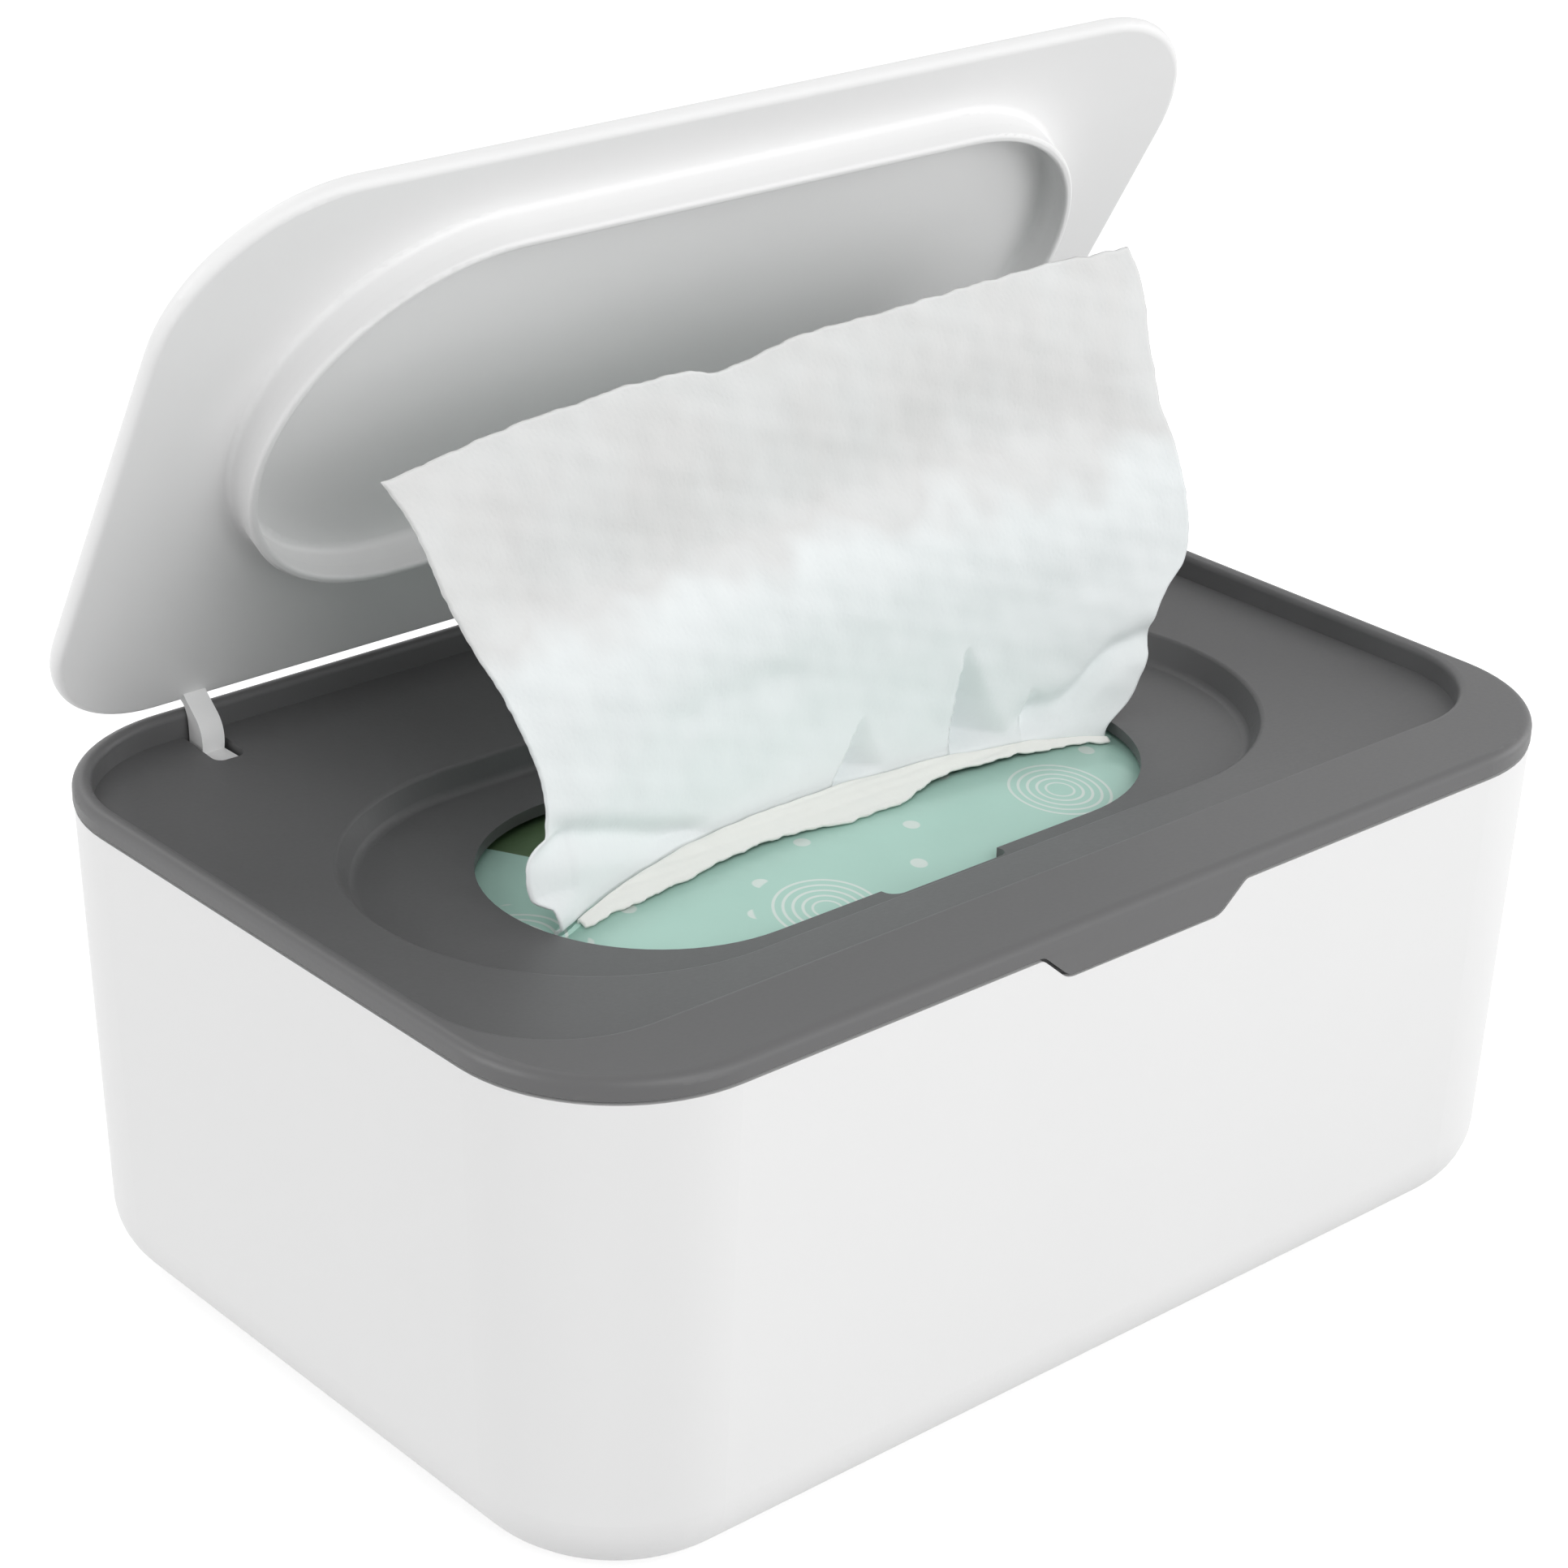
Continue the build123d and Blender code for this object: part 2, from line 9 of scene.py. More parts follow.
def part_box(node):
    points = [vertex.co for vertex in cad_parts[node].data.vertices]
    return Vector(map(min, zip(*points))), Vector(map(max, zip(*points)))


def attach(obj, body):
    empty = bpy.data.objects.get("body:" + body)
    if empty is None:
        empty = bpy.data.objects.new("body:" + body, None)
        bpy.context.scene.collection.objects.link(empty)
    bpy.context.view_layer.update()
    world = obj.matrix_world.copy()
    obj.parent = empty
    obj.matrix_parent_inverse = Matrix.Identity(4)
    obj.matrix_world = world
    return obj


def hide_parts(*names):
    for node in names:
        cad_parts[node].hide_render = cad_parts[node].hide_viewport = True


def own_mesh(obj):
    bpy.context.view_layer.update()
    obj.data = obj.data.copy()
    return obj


bl_info = {
    "name": "Wipes Box",
    "version": (1, 0, 0),
    "blender": (4, 5, 0),
    "location": "View3D > Sidebar > Wipes Box",
    "description": "Dresses the wipes box: moulded shells, film refill, wipes and stage",
    "category": "Object",
}

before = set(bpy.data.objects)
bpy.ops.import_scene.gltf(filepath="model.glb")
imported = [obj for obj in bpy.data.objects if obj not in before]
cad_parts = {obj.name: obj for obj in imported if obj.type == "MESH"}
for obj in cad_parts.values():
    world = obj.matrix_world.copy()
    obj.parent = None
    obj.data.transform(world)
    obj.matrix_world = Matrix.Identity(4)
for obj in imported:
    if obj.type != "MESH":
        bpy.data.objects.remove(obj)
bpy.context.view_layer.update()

# Points are worked out in millimetres, and MM turns them into metres
MM = 0.001
POUCH_LOW, POUCH_HIGH = (np.array(corner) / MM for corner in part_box("refill_pouch"))
STACK_LOW, STACK_HIGH = (np.array(corner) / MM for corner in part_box("wipe_stack"))


class ShellFinish(bpy.types.PropertyGroup):
    """Colours of the moulded pieces, the pins and the feet."""

    white: bpy.props.FloatVectorProperty(
        name="White", description="Colour of the tub",
        default=(0.79, 0.79, 0.79), size=3, subtype="COLOR",
    )
    # Painted light: the lid is a lighter copy of the tub's white plastic, which lifts its shaded pocket and lower
    # side.
    lid: bpy.props.FloatVectorProperty(
        name="Lid", description="Colour of the lid",
        default=(0.85, 0.85, 0.85), size=3, subtype="COLOR",
    )
    grey: bpy.props.FloatVectorProperty(
        name="Grey", description="Colour of the top frame",
        default=(0.110, 0.110, 0.1115), size=3, subtype="COLOR",
    )
    silicone: bpy.props.FloatVectorProperty(
        name="Silicone", description="Colour of the lid's sealing lip",
        default=(0.84, 0.84, 0.84), size=3, subtype="COLOR",
    )
    foot: bpy.props.FloatVectorProperty(
        name="Foot", description="Colour of the soft feet",
        default=(0.42, 0.42, 0.42), size=3, subtype="COLOR",
    )
    pin: bpy.props.FloatVectorProperty(
        name="Pin", description="Colour of the hinge pins",
        default=(0.56, 0.56, 0.57), size=3, subtype="COLOR",
    )
    grain: bpy.props.FloatProperty(
        name="Grain", description="Size of the moulded grain",
        default=0.0007, unit="LENGTH",
    )


class RefillLook(bpy.types.PropertyGroup):
    """Colours and sizes of the film pouch."""

    mint: bpy.props.FloatVectorProperty(
        name="Mint", description="Ground colour of the film",
        default=(0.47, 0.72, 0.63), size=3, subtype="COLOR",
    )
    motif: bpy.props.FloatVectorProperty(
        name="Motif", description="Colour of the printed rings and dots",
        default=(0.80, 0.86, 0.82), size=3, subtype="COLOR",
    )
    panel: bpy.props.FloatVectorProperty(
        name="Panel", description="Colour of the bare panel",
        default=(0.10, 0.17, 0.08), size=3, subtype="COLOR",
    )
    ring_pitch: bpy.props.FloatProperty(
        name="Ring pitch", description="Distance between the printed rings of one set",
        default=0.0014, unit="LENGTH",
    )
    panel_edge: bpy.props.FloatProperty(
        name="Panel edge", description="Where the panel's slanted edge crosses the middle line",
        default=-0.1202, unit="LENGTH",
    )
    film: bpy.props.FloatProperty(
        name="Film", description="Thickness of the film",
        default=0.0003, unit="LENGTH",
    )
    lip_lift: bpy.props.FloatProperty(
        name="Lip lift", description="How far the wipe pulls the slit's lips up",
        default=0.0009, unit="LENGTH",
    )


class WipeLook(bpy.types.PropertyGroup):
    """Colours and sizes of the wipes."""

    cloth: bpy.props.FloatVectorProperty(
        name="Cloth", description="Colour of the drier cloth",
        default=(0.745, 0.745, 0.74), size=3, subtype="COLOR",
    )
    # Painted light: lit_damp is a lighter, mint-tinted colour for the lower cloth and its wetter patches. It
    # stands in for light through the cloth and for less shade there; only the lower roughness there comes from the
    # moisture.
    lit_damp: bpy.props.FloatVectorProperty(
        name="Damp", description="Colour where the cloth is wettest",
        default=(0.86, 0.895, 0.90), size=3, subtype="COLOR",
    )
    # Painted light: this colour is made lighter than the cloth to make up for the shade on the next wipe's edge
    # down in the frame's hollow.
    edge: bpy.props.FloatVectorProperty(
        name="Edge", description="Colour of the next wipe's edge",
        default=(0.90, 0.905, 0.865), size=3, subtype="COLOR",
    )
    thickness: bpy.props.FloatProperty(
        name="Thickness", description="Thickness of one wipe",
        default=0.0004, unit="LENGTH",
    )
    width: bpy.props.FloatProperty(
        name="Width", description="Width of a flat wipe",
        default=0.150, unit="LENGTH",
    )
    # This height also bounds where the cloth is painted lighter.
    wet_and_lit_below: bpy.props.FloatProperty(
        name="Wet below", description="Height above the slit that the wet part reaches",
        default=0.047, unit="LENGTH",
    )
    shut: bpy.props.FloatProperty(
        name="Shut", description="Share of its height that the raised wipe keeps under the shut lid",
        default=0.05,
    )


class StageSetup(bpy.types.PropertyGroup):
    """The camera's place and lens, and the light."""

    place: bpy.props.FloatVectorProperty(
        name="Place", description="Where the camera stands",
        default=(-0.33833, -0.37335, 0.30671), size=3, unit="LENGTH",
    )
    yaw: bpy.props.FloatProperty(
        name="Yaw", description="Turn of the view about the vertical",
        default=np.radians(-40.968), unit="ROTATION",
    )
    pitch: bpy.props.FloatProperty(
        name="Pitch", description="How far the camera looks down",
        default=np.radians(26.132), unit="ROTATION",
    )
    roll: bpy.props.FloatProperty(
        name="Roll", description="Turn about the line of sight",
        default=np.radians(1.089), unit="ROTATION",
    )
    lens: bpy.props.FloatProperty(name="Lens", description="Focal length in millimetres", default=87.53)
    shift_x: bpy.props.FloatProperty(name="Shift X", description="Sideways shift of the frame", default=0.02537)
    shift_y: bpy.props.FloatProperty(name="Shift Y", description="Upward shift of the frame", default=0.04418)
    sky: bpy.props.FloatProperty(name="Sky", description="Strength of the light from all round", default=0.51)
    key: bpy.props.FloatProperty(
        name="Key", description="Power of the high front lamp", default=5.5, unit="POWER"
    )
    low_key: bpy.props.FloatProperty(
        name="Low key", description="Power of the low front lamp", default=4.3, unit="POWER"
    )
    side: bpy.props.FloatProperty(
        name="Side", description="Power of the left lamp", default=6.3, unit="POWER"
    )
    far_side: bpy.props.FloatProperty(
        name="Far side", description="Power of the right lamp", default=3.1, unit="POWER"
    )
    back: bpy.props.FloatProperty(
        name="Back", description="Power of the high lamp behind", default=4.2, unit="POWER"
    )


def eased(t, stations, values):
    """Cubic curve through (stations, values): between two stations it is a Hermite blend, whose slopes at the
    stations are central differences."""
    stations = np.asarray(stations, float)
    values = np.asarray(values, float)
    slopes = np.gradient(values, stations, axis=0)
    t = np.clip(t, stations[0], stations[-1])
    k = np.clip(np.searchsorted(stations, t) - 1, 0, len(stations) - 2)
    step = stations[k + 1] - stations[k]
    s = (t - stations[k]) / step
    start, end = (2 * s**3 - 3 * s**2 + 1), (3 * s**2 - 2 * s**3)
    lead, trail = (s**3 - 2 * s**2 + s) * step, (s**3 - s**2) * step
    return start * values[k] + end * values[k + 1] + lead * slopes[k] + trail * slopes[k + 1]


def rise(x, low, high):
    """0 below low, 1 above high, and a smooth S between them."""
    s = np.clip((x - low) / (high - low), 0, 1)
    return s * s * (3 - 2 * s)


def plateau(x, low, full, waning, gone):
    """0 below low, 1 from full to waning, 0 above gone, and a smooth S on each side."""
    return rise(x, low, full) * (1 - rise(x, waning, gone))


def bell(distance, width):
    """1 in the middle and less to each side: e to the power of minus the square of distance over width."""
    return np.exp(-((distance / width) ** 2))


def signed_power(value, power):
    """The sign of value times its size to a power, which turns a circle's sine and cosine into a blunt oval's."""
    return np.sign(value) * np.abs(value) ** power


WAVES = 6
WAVE_SPREAD = (0.7, 1.5)


def ripple(a, b, height, size, seed):
    """Ripples over (a, b): height times the mean of six sine waves, whose directions, phases and lengths are drawn
    from seed, with lengths about size."""
    rng = np.random.default_rng(seed)
    total = np.zeros(np.broadcast(a, b).shape)
    for _ in range(WAVES):
        turn, phase = rng.uniform(0, 2 * np.pi, 2)
        wave = 2 * np.pi / (size * rng.uniform(*WAVE_SPREAD))
        total = total + np.sin(wave * (a * np.cos(turn) + b * np.sin(turn)) + phase)
    return height * (total / WAVES)


def grid_faces(rows, columns, wrap=False):
    """Quads of a rows by columns grid of points, and with wrap also between the last column and the first."""
    r = np.arange(rows - 1)[:, None]
    c = np.arange(columns if wrap else columns - 1)[None, :]
    following = (c + 1) % columns
    near, far = r * columns, (r + 1) * columns
    corners = [near + c, near + following, far + following, far + c]
    return np.stack(corners, axis=-1).reshape(-1, 4).tolist()


def add_mesh(name, points, faces, material, body, uv=None):
    """A smooth mesh object from points in millimetres and faces, riding on a body. uv has one pair per point."""
    mesh = bpy.data.meshes.new(name)
    mesh.from_pydata((points.reshape(-1, 3) * MM).tolist(), [], faces)
    mesh.polygons.foreach_set("use_smooth", np.ones(len(mesh.polygons), bool))
    if uv is not None:
        layer = mesh.uv_layers.new(name="Cloth")
        corner_points = np.zeros(len(mesh.loops), int)
        mesh.loops.foreach_get("vertex_index", corner_points)
        layer.data.foreach_set("uv", uv.reshape(-1, 2)[corner_points].ravel())
    mesh.materials.append(material)
    mesh.update()
    piece = bpy.data.objects.new(name, mesh)
    bpy.context.scene.collection.objects.link(piece)
    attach(piece, body)
    return piece


def merge_doubles(piece, distance):
    """Joins points that lie within a distance in metres, and turns the faces outwards."""
    work = bmesh.new()
    work.from_mesh(piece.data)
    bmesh.ops.remove_doubles(work, verts=work.verts, dist=distance)
    bmesh.ops.dissolve_degenerate(work, dist=distance, edges=work.edges)
    bmesh.ops.recalc_face_normals(work, faces=work.faces)
    work.to_mesh(piece.data)
    work.free()


def thicken(piece, thickness, offset=0.0):
    """Gives a sheet its thickness: half to each side at offset 0, and all of it inwards at -1."""
    wall = piece.modifiers.new("Thickness", "SOLIDIFY")
    wall.thickness = thickness
    wall.offset = offset
    wall.use_rim = True


def new_group(name, inputs, outputs):
    """An empty shader node group: inputs are (name, socket type, default), and outputs (name, socket type)."""
    tree = bpy.data.node_groups.new(name, "ShaderNodeTree")
    for label, kind, default in inputs:
        socket = tree.interface.new_socket(label, in_out="INPUT", socket_type=kind)
        if default is not None:
            socket.default_value = default
    for label, kind in outputs:
        tree.interface.new_socket(label, in_out="OUTPUT", socket_type=kind)
    return tree, tree.nodes.new("NodeGroupInput").outputs, tree.nodes.new("NodeGroupOutput").inputs


def feed(tree, slots, values):
    """Gives slots, by name or number, what feeds them: a socket is linked and anything else is set."""
    for key, value in values.items():
        if isinstance(value, bpy.types.NodeSocket):
            tree.links.new(value, slots[key])
        else:
            slots[key].default_value = value


def put(tree, kind, settings=None, values=None):
    """A node of a tree with its settings, and what feeds its inputs."""
    node = tree.nodes.new(kind)
    for key, value in (settings or {}).items():
        setattr(node, key, value)
    feed(tree, node.inputs, values or {})
    return node


def maths(tree, operation, first, second=None, clamp=False):
    """Output of a Math node whose inputs are sockets or numbers."""
    values = {0: first} if second is None else {0: first, 1: second}
    return put(tree, "ShaderNodeMath", {"operation": operation, "use_clamp": clamp}, values).outputs[0]


def scaled(tree, value, factor, base=None):
    """A value times a factor, and plus base if it is given."""
    product = maths(tree, "MULTIPLY", value, factor)
    return product if base is None else maths(tree, "ADD", product, base)


def between(tree, value, low, high):
    """Smooth 0 to 1 as value goes from low to high."""
    values = {0: value, 1: low, 2: high, 3: 0.0, 4: 1.0}
    return put(tree, "ShaderNodeMapRange", {"interpolation_type": "SMOOTHSTEP"}, values).outputs[0]


def outside(tree, value, low, high):
    """Smooth 1 to 0 as value goes from low to high."""
    return maths(tree, "SUBTRACT", 1.0, between(tree, value, low, high))


def blended(tree, share, first, second):
    """Mix of two colours by share. Each colour is a socket, or red, green and blue."""
    values = {0: share}
    for slot, colour in ((6, first), (7, second)):
        values[slot] = colour if isinstance(colour, bpy.types.NodeSocket) else (*colour, 1.0)
    return put(tree, "ShaderNodeMix", {"data_type": "RGBA"}, values).outputs[2]


def noise(tree, vector, scale, detail, roughness=0.5):
    """Value of a Noise texture at a vector."""
    values = {"Vector": vector, "Scale": scale, "Detail": detail, "Roughness": roughness}
    return put(tree, "ShaderNodeTexNoise", None, values).outputs[0]


def flat_cells(tree, vector, scale, randomness):
    """Distance to the middle of the nearest cell of a flat Voronoi texture."""
    values = {"Vector": vector, "Scale": scale, "Randomness": randomness}
    cells = put(tree, "ShaderNodeTexVoronoi", {"voronoi_dimensions": "2D"}, values)
    return cells.outputs["Distance"]


def own_place(tree):
    """The piece's own Object coordinates."""
    return put(tree, "ShaderNodeTexCoord").outputs["Object"]


def in_millimetres(tree, vector, depth=1.0):
    """A vector in millimetres. A depth of 0 flattens it onto the XY plane."""
    across = 1.0 / MM
    scale = (across, across, across * depth)
    return put(tree, "ShaderNodeMapping", None, {"Vector": vector, "Scale": scale}).outputs[0]


COLOUR_AND_RELIEF = (
    ("Colour", "NodeSocketColor"),
    ("Roughness", "NodeSocketFloat"),
    ("Height", "NodeSocketFloat"),
)


def moulded_grain():
    """Group: fine spark-eroded grain, with a faintly cloudy colour and uneven gloss, on a moulded surface."""
    name = "Moulded Grain"
    if name in bpy.data.node_groups:
        return bpy.data.node_groups[name]
    inputs = (
        ("Vector", "NodeSocketVector", None),
        ("Colour", "NodeSocketColor", (0.8, 0.8, 0.8, 1)),
        ("Grain", "NodeSocketFloat", 1400.0),
        ("Roughness", "NodeSocketFloat", 0.45),
        ("Cloud", "NodeSocketFloat", 0.03),
    )
    tree, given, result = new_group(name, inputs, COLOUR_AND_RELIEF)
    cloud_scale, fine_gloss, broad_gloss = 22.0, 0.12, 0.10
    fine = noise(tree, given["Vector"], given["Grain"], 3.0, 0.6)
    broad = maths(tree, "SUBTRACT", noise(tree, given["Vector"], cloud_scale, 2.0), 0.5)
    level = scaled(tree, broad, given["Cloud"], 1.0)
    tinted = put(tree, "ShaderNodeVectorMath", {"operation": "SCALE"}, {0: given["Colour"], "Scale": level})
    uneven = scaled(tree, maths(tree, "SUBTRACT", fine, 0.5), fine_gloss)
    rough = maths(tree, "ADD", given["Roughness"], uneven)
    rough = maths(tree, "ADD", rough, scaled(tree, broad, broad_gloss), clamp=True)
    feed(tree, result, {"Colour": tinted.outputs[0], "Roughness": rough, "Height": fine})
    return tree


# Turn in radians and stretch of each layer of fibres in the cloth
FIBRE_LAYERS = (
    (0.35, (1.9, 0.32, 1.0)),
    (-0.6, (1.6, 0.28, 1.0)),
    (1.45, (1.7, 0.4, 1.0)),
)
FIBRE_MEAN = 0.333


def damp_cloth():
    """Group: non-woven cloth with crossed fibres, pressed dots, puckers and wetter patches. Its Vector and its Wet
    And Lit Below are in millimetres; where the Vector's Y is below Wet And Lit Below the cloth is wetter, with
    lower roughness, and painted lighter towards the Damp colour, which stands in for light through the cloth and
    for less shade."""
    name = "Damp Cloth"
    if name in bpy.data.node_groups:
        return bpy.data.node_groups[name]
    inputs = (
        ("Vector", "NodeSocketVector", None),
        ("Colour", "NodeSocketColor", (0.8, 0.8, 0.8, 1)),
        # Damp is a painted-light colour: lighter than the cloth, for light through it and less shade.
        ("Damp", "NodeSocketColor", (0.74, 0.8, 0.8, 1)),
        ("Wetness", "NodeSocketFloat", 0.5),
        ("Wet Below", "NodeSocketFloat", 0.0),
    )
    tree, given, result = new_group(name, inputs, COLOUR_AND_RELIEF)
    vector = given["Vector"]
    fibres = None
    for turn, stretch in FIBRE_LAYERS:
        values = {"Vector": vector, "Rotation": (0, 0, turn), "Scale": stretch}
        strands = noise(tree, put(tree, "ShaderNodeMapping", None, values).outputs[0], 1.6, 3.0, 0.65)
        fibres = strands if fibres is None else maths(tree, "ADD", fibres, strands)
    fibres = scaled(tree, fibres, FIBRE_MEAN)

    fibre_height, dot_height, pucker_height = 0.5, 0.16, 0.7
    dots = between(tree, flat_cells(tree, vector, 0.85, 0.75), 0.10, 0.45)
    height = maths(tree, "ADD", scaled(tree, fibres, fibre_height), scaled(tree, dots, dot_height))
    height = maths(tree, "ADD", height, scaled(tree, noise(tree, vector, 0.28, 3.0, 0.6), pucker_height))

    tide_wander, tide_softness, patch_strength = 22.0, 6.0, 0.25
    patch = noise(tree, vector, 0.055, 2.0, 0.55)
    along = put(tree, "ShaderNodeSeparateXYZ", None, {0: vector}).outputs[1]
    wander = scaled(tree, maths(tree, "SUBTRACT", patch, 0.5), tide_wander)
    depth = maths(tree, "SUBTRACT", given["Wet Below"], maths(tree, "ADD", along, wander))
    low = between(tree, depth, -tide_softness, tide_softness)
    patchy = scaled(tree, between(tree, patch, 0.32, 0.66), patch_strength)
    wet_and_lit = scaled(tree, maths(tree, "MAXIMUM", low, patchy), given["Wetness"])

    dry_roughness, wet_shine, fibre_roughness = 0.86, 0.22, 0.08
    rough = maths(tree, "SUBTRACT", dry_roughness, scaled(tree, wet_and_lit, wet_shine))
    rough = maths(tree, "ADD", rough, scaled(tree, fibres, fibre_roughness))
    # Painted light: the lower cloth and its wetter patches are blended towards the lighter Damp colour.
    colour = blended(tree, wet_and_lit, given["Colour"], given["Damp"])
    feed(tree, result, {"Colour": colour, "Roughness": rough, "Height": height})
    return tree


def new_material(name):
    """A material with nothing but its output and its Principled BSDF."""
    material = bpy.data.materials.new(name)
    material.use_nodes = True
    tree = material.node_tree
    return material, tree, tree.nodes["Principled BSDF"]


def seen_or_mirrored(tree):
    """1 for what the camera sees straight, in gloss or through glass, and 0 for light on a matt surface."""
    path = put(tree, "ShaderNodeLightPath").outputs
    mirrored = maths(tree, "MAXIMUM", path["Is Glossy Ray"], path["Is Transmission Ray"])
    return maths(tree, "MAXIMUM", path["Is Camera Ray"], mirrored)


def finish(tree, shader, colour, roughness, height, strength, distance):
    """Feeds a shader its colour and roughness, and its relief as a bump of a strength and a distance in metres."""
    bump = put(tree, "ShaderNodeBump", None, {"Strength": strength, "Distance": distance, "Height": height})
    feed(tree, shader.inputs, {"Base Color": colour, "Roughness": roughness, "Normal": bump.outputs[0]})


def moulded_material(name, colour, roughness, grain, cloud=0.03, strength=0.10):
    """Satin moulded plastic or rubber: the grain group over Object coordinates."""
    material, tree, shader = new_material(name)
    values = {
        "Vector": own_place(tree),
        "Colour": (*colour, 1),
        "Grain": 1.0 / grain,
        "Roughness": roughness,
        "Cloud": cloud,
    }
    made = put(tree, "ShaderNodeGroup", {"node_tree": moulded_grain()}, values).outputs
    finish(tree, shader, made["Colour"], made["Roughness"], made["Height"], strength, distance=0.12 * MM)
    return material


def steel_material(colour):
    """Drawn steel wire: fine lines along the pin, which darken the colour a little."""
    material, tree, shader = new_material("drawn_steel")
    values = {"Vector": own_place(tree), "Scale": (90.0, 4200.0, 4200.0)}
    lines = noise(tree, put(tree, "ShaderNodeMapping", None, values).outputs[0], 1.0, 2.0)
    shader.inputs["Metallic"].default_value = 1.0
    line_shade = 0.85
    shade = blended(tree, lines, [c * line_shade for c in colour], colour)
    roughness = scaled(tree, lines, factor=0.2, base=0.22)
    finish(tree, shader, shade, roughness, lines, strength=0.15, distance=0.05 * MM)
    return material


# The print on the film, in millimetres. A pair is where an edge starts and ends
RING_CENTRES = (
    (-18.0, -22.5),
    (35.0, -15.0),
    (-58.0, -2.0),
    (8.0, 21.0),
    (62.0, 14.0),
    (-40.0, -38.0),
    (16.0, -40.0),
)
RING_LINE = (0.14, 0.30)
RINGS_FROM = (1.8, 2.1)
RINGS_TO = (8.2, 8.6)
DOT_SPACING = 15.0
DOT_EDGE = (0.075, 0.095)
DOTS_FROM = (10.4, 10.8)
PRINT_COVER = 0.8
GROUND_SHADES = (0.94, 1.05)
PANEL_SLANT = 3.4
PANEL_SOFT = 0.4
PANEL_RIGHT = (-24.4, -24.0)
PANEL_FRONT = (10.0, 10.4)


def printed_mask(tree, place, pitch):
    """1 on the print: rings of one pitch about the centres, and dots away from them."""
    reach = None
    for centre in RING_CENTRES:
        away = put(tree, "ShaderNodeVectorMath", {"operation": "DISTANCE"}, {0: place, 1: (*centre, 0.0)})
        away = away.outputs["Value"]
        reach = away if reach is None else maths(tree, "MINIMUM", reach, away)
    wave = maths(tree, "SUBTRACT", maths(tree, "MODULO", reach, pitch), pitch / 2)
    line = outside(tree, maths(tree, "ABSOLUTE", wave), *RING_LINE)
    inside = maths(tree, "SUBTRACT", between(tree, reach, *RINGS_FROM), between(tree, reach, *RINGS_TO))
    line = maths(tree, "MULTIPLY", line, inside)
    spot = outside(tree, flat_cells(tree, place, 1.0 / DOT_SPACING, 0.9), *DOT_EDGE)
    spot = maths(tree, "MULTIPLY", spot, between(tree, reach, *DOTS_FROM))
    return scaled(tree, maths(tree, "MAXIMUM", line, spot), PRINT_COVER)


def panel_mask(tree, place, panel_edge):
    """1 on the bare panel: left of one line, behind another, and behind a slanted one."""
    x, y = put(tree, "ShaderNodeSeparateXYZ", None, {0: place}).outputs[:2]
    slant = scaled(tree, x, PANEL_SLANT, y)
    behind = between(tree, slant, panel_edge, panel_edge + PANEL_SOFT * MM)
    left = outside(tree, x, *(edge * MM for edge in PANEL_RIGHT))
    back = between(tree, y, *(edge * MM for edge in PANEL_FRONT))
    return maths(tree, "MULTIPLY", maths(tree, "MULTIPLY", behind, left), back)


def film_material(look):
    """Printed film: a mint ground with sets of thin rings and scattered dots, and a bare green panel."""
    material, tree, shader = new_material("printed_film")
    place = own_place(tree)
    on_film = in_millimetres(tree, place, depth=0.0)
    pale, full = ([c * shade for c in look.mint] for shade in GROUND_SHADES)
    ground = blended(tree, noise(tree, on_film, 0.05, 2.0), pale, full)
    printed = blended(tree, printed_mask(tree, on_film, look.ring_pitch / MM), ground, look.motif)
    printed = blended(tree, panel_mask(tree, place, look.panel_edge), printed, look.panel)
    crinkle = noise(tree, on_film, 0.35, 2.0, 0.4)
    roughness = scaled(tree, crinkle, factor=0.12, base=0.30)
    finish(tree, shader, printed, roughness, crinkle, strength=0.25, distance=0.4 * MM)
    return material


def cloth_material(name, look, colour, wetness, wet_and_lit_below=0.0, on_uv=True):
    """Damp non-woven cloth over the piece's own flat layout, or over Object coordinates on the stack."""
    material, tree, shader = new_material(name)
    place = put(tree, "ShaderNodeUVMap", {"uv_map": "Cloth"}).outputs[0] if on_uv else own_place(tree)
    values = {
        "Vector": in_millimetres(tree, place),
        "Colour": (*colour, 1),
        # Painted light: the lighter lit_damp colour is blended into the lower cloth.
        "Damp": (*look.lit_damp, 1),
        "Wetness": wetness,
        "Wet Below": wet_and_lit_below / MM,
    }
    made = put(tree, "ShaderNodeGroup", {"node_tree": damp_cloth()}, values).outputs
    feed(tree, shader.inputs, {"Sheen Weight": 0.12, "Sheen Roughness": 0.5})
    finish(tree, shader, made["Colour"], made["Roughness"], made["Height"], strength=0.16, distance=0.5 * MM)
    return material


def dress(node, material):
    """Puts a material on every slot of a CAD node."""
    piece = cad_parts[node]
    if not piece.material_slots:
        piece.data.materials.append(material)
    for slot in piece.material_slots:
        slot.link = "OBJECT"
        slot.material = material


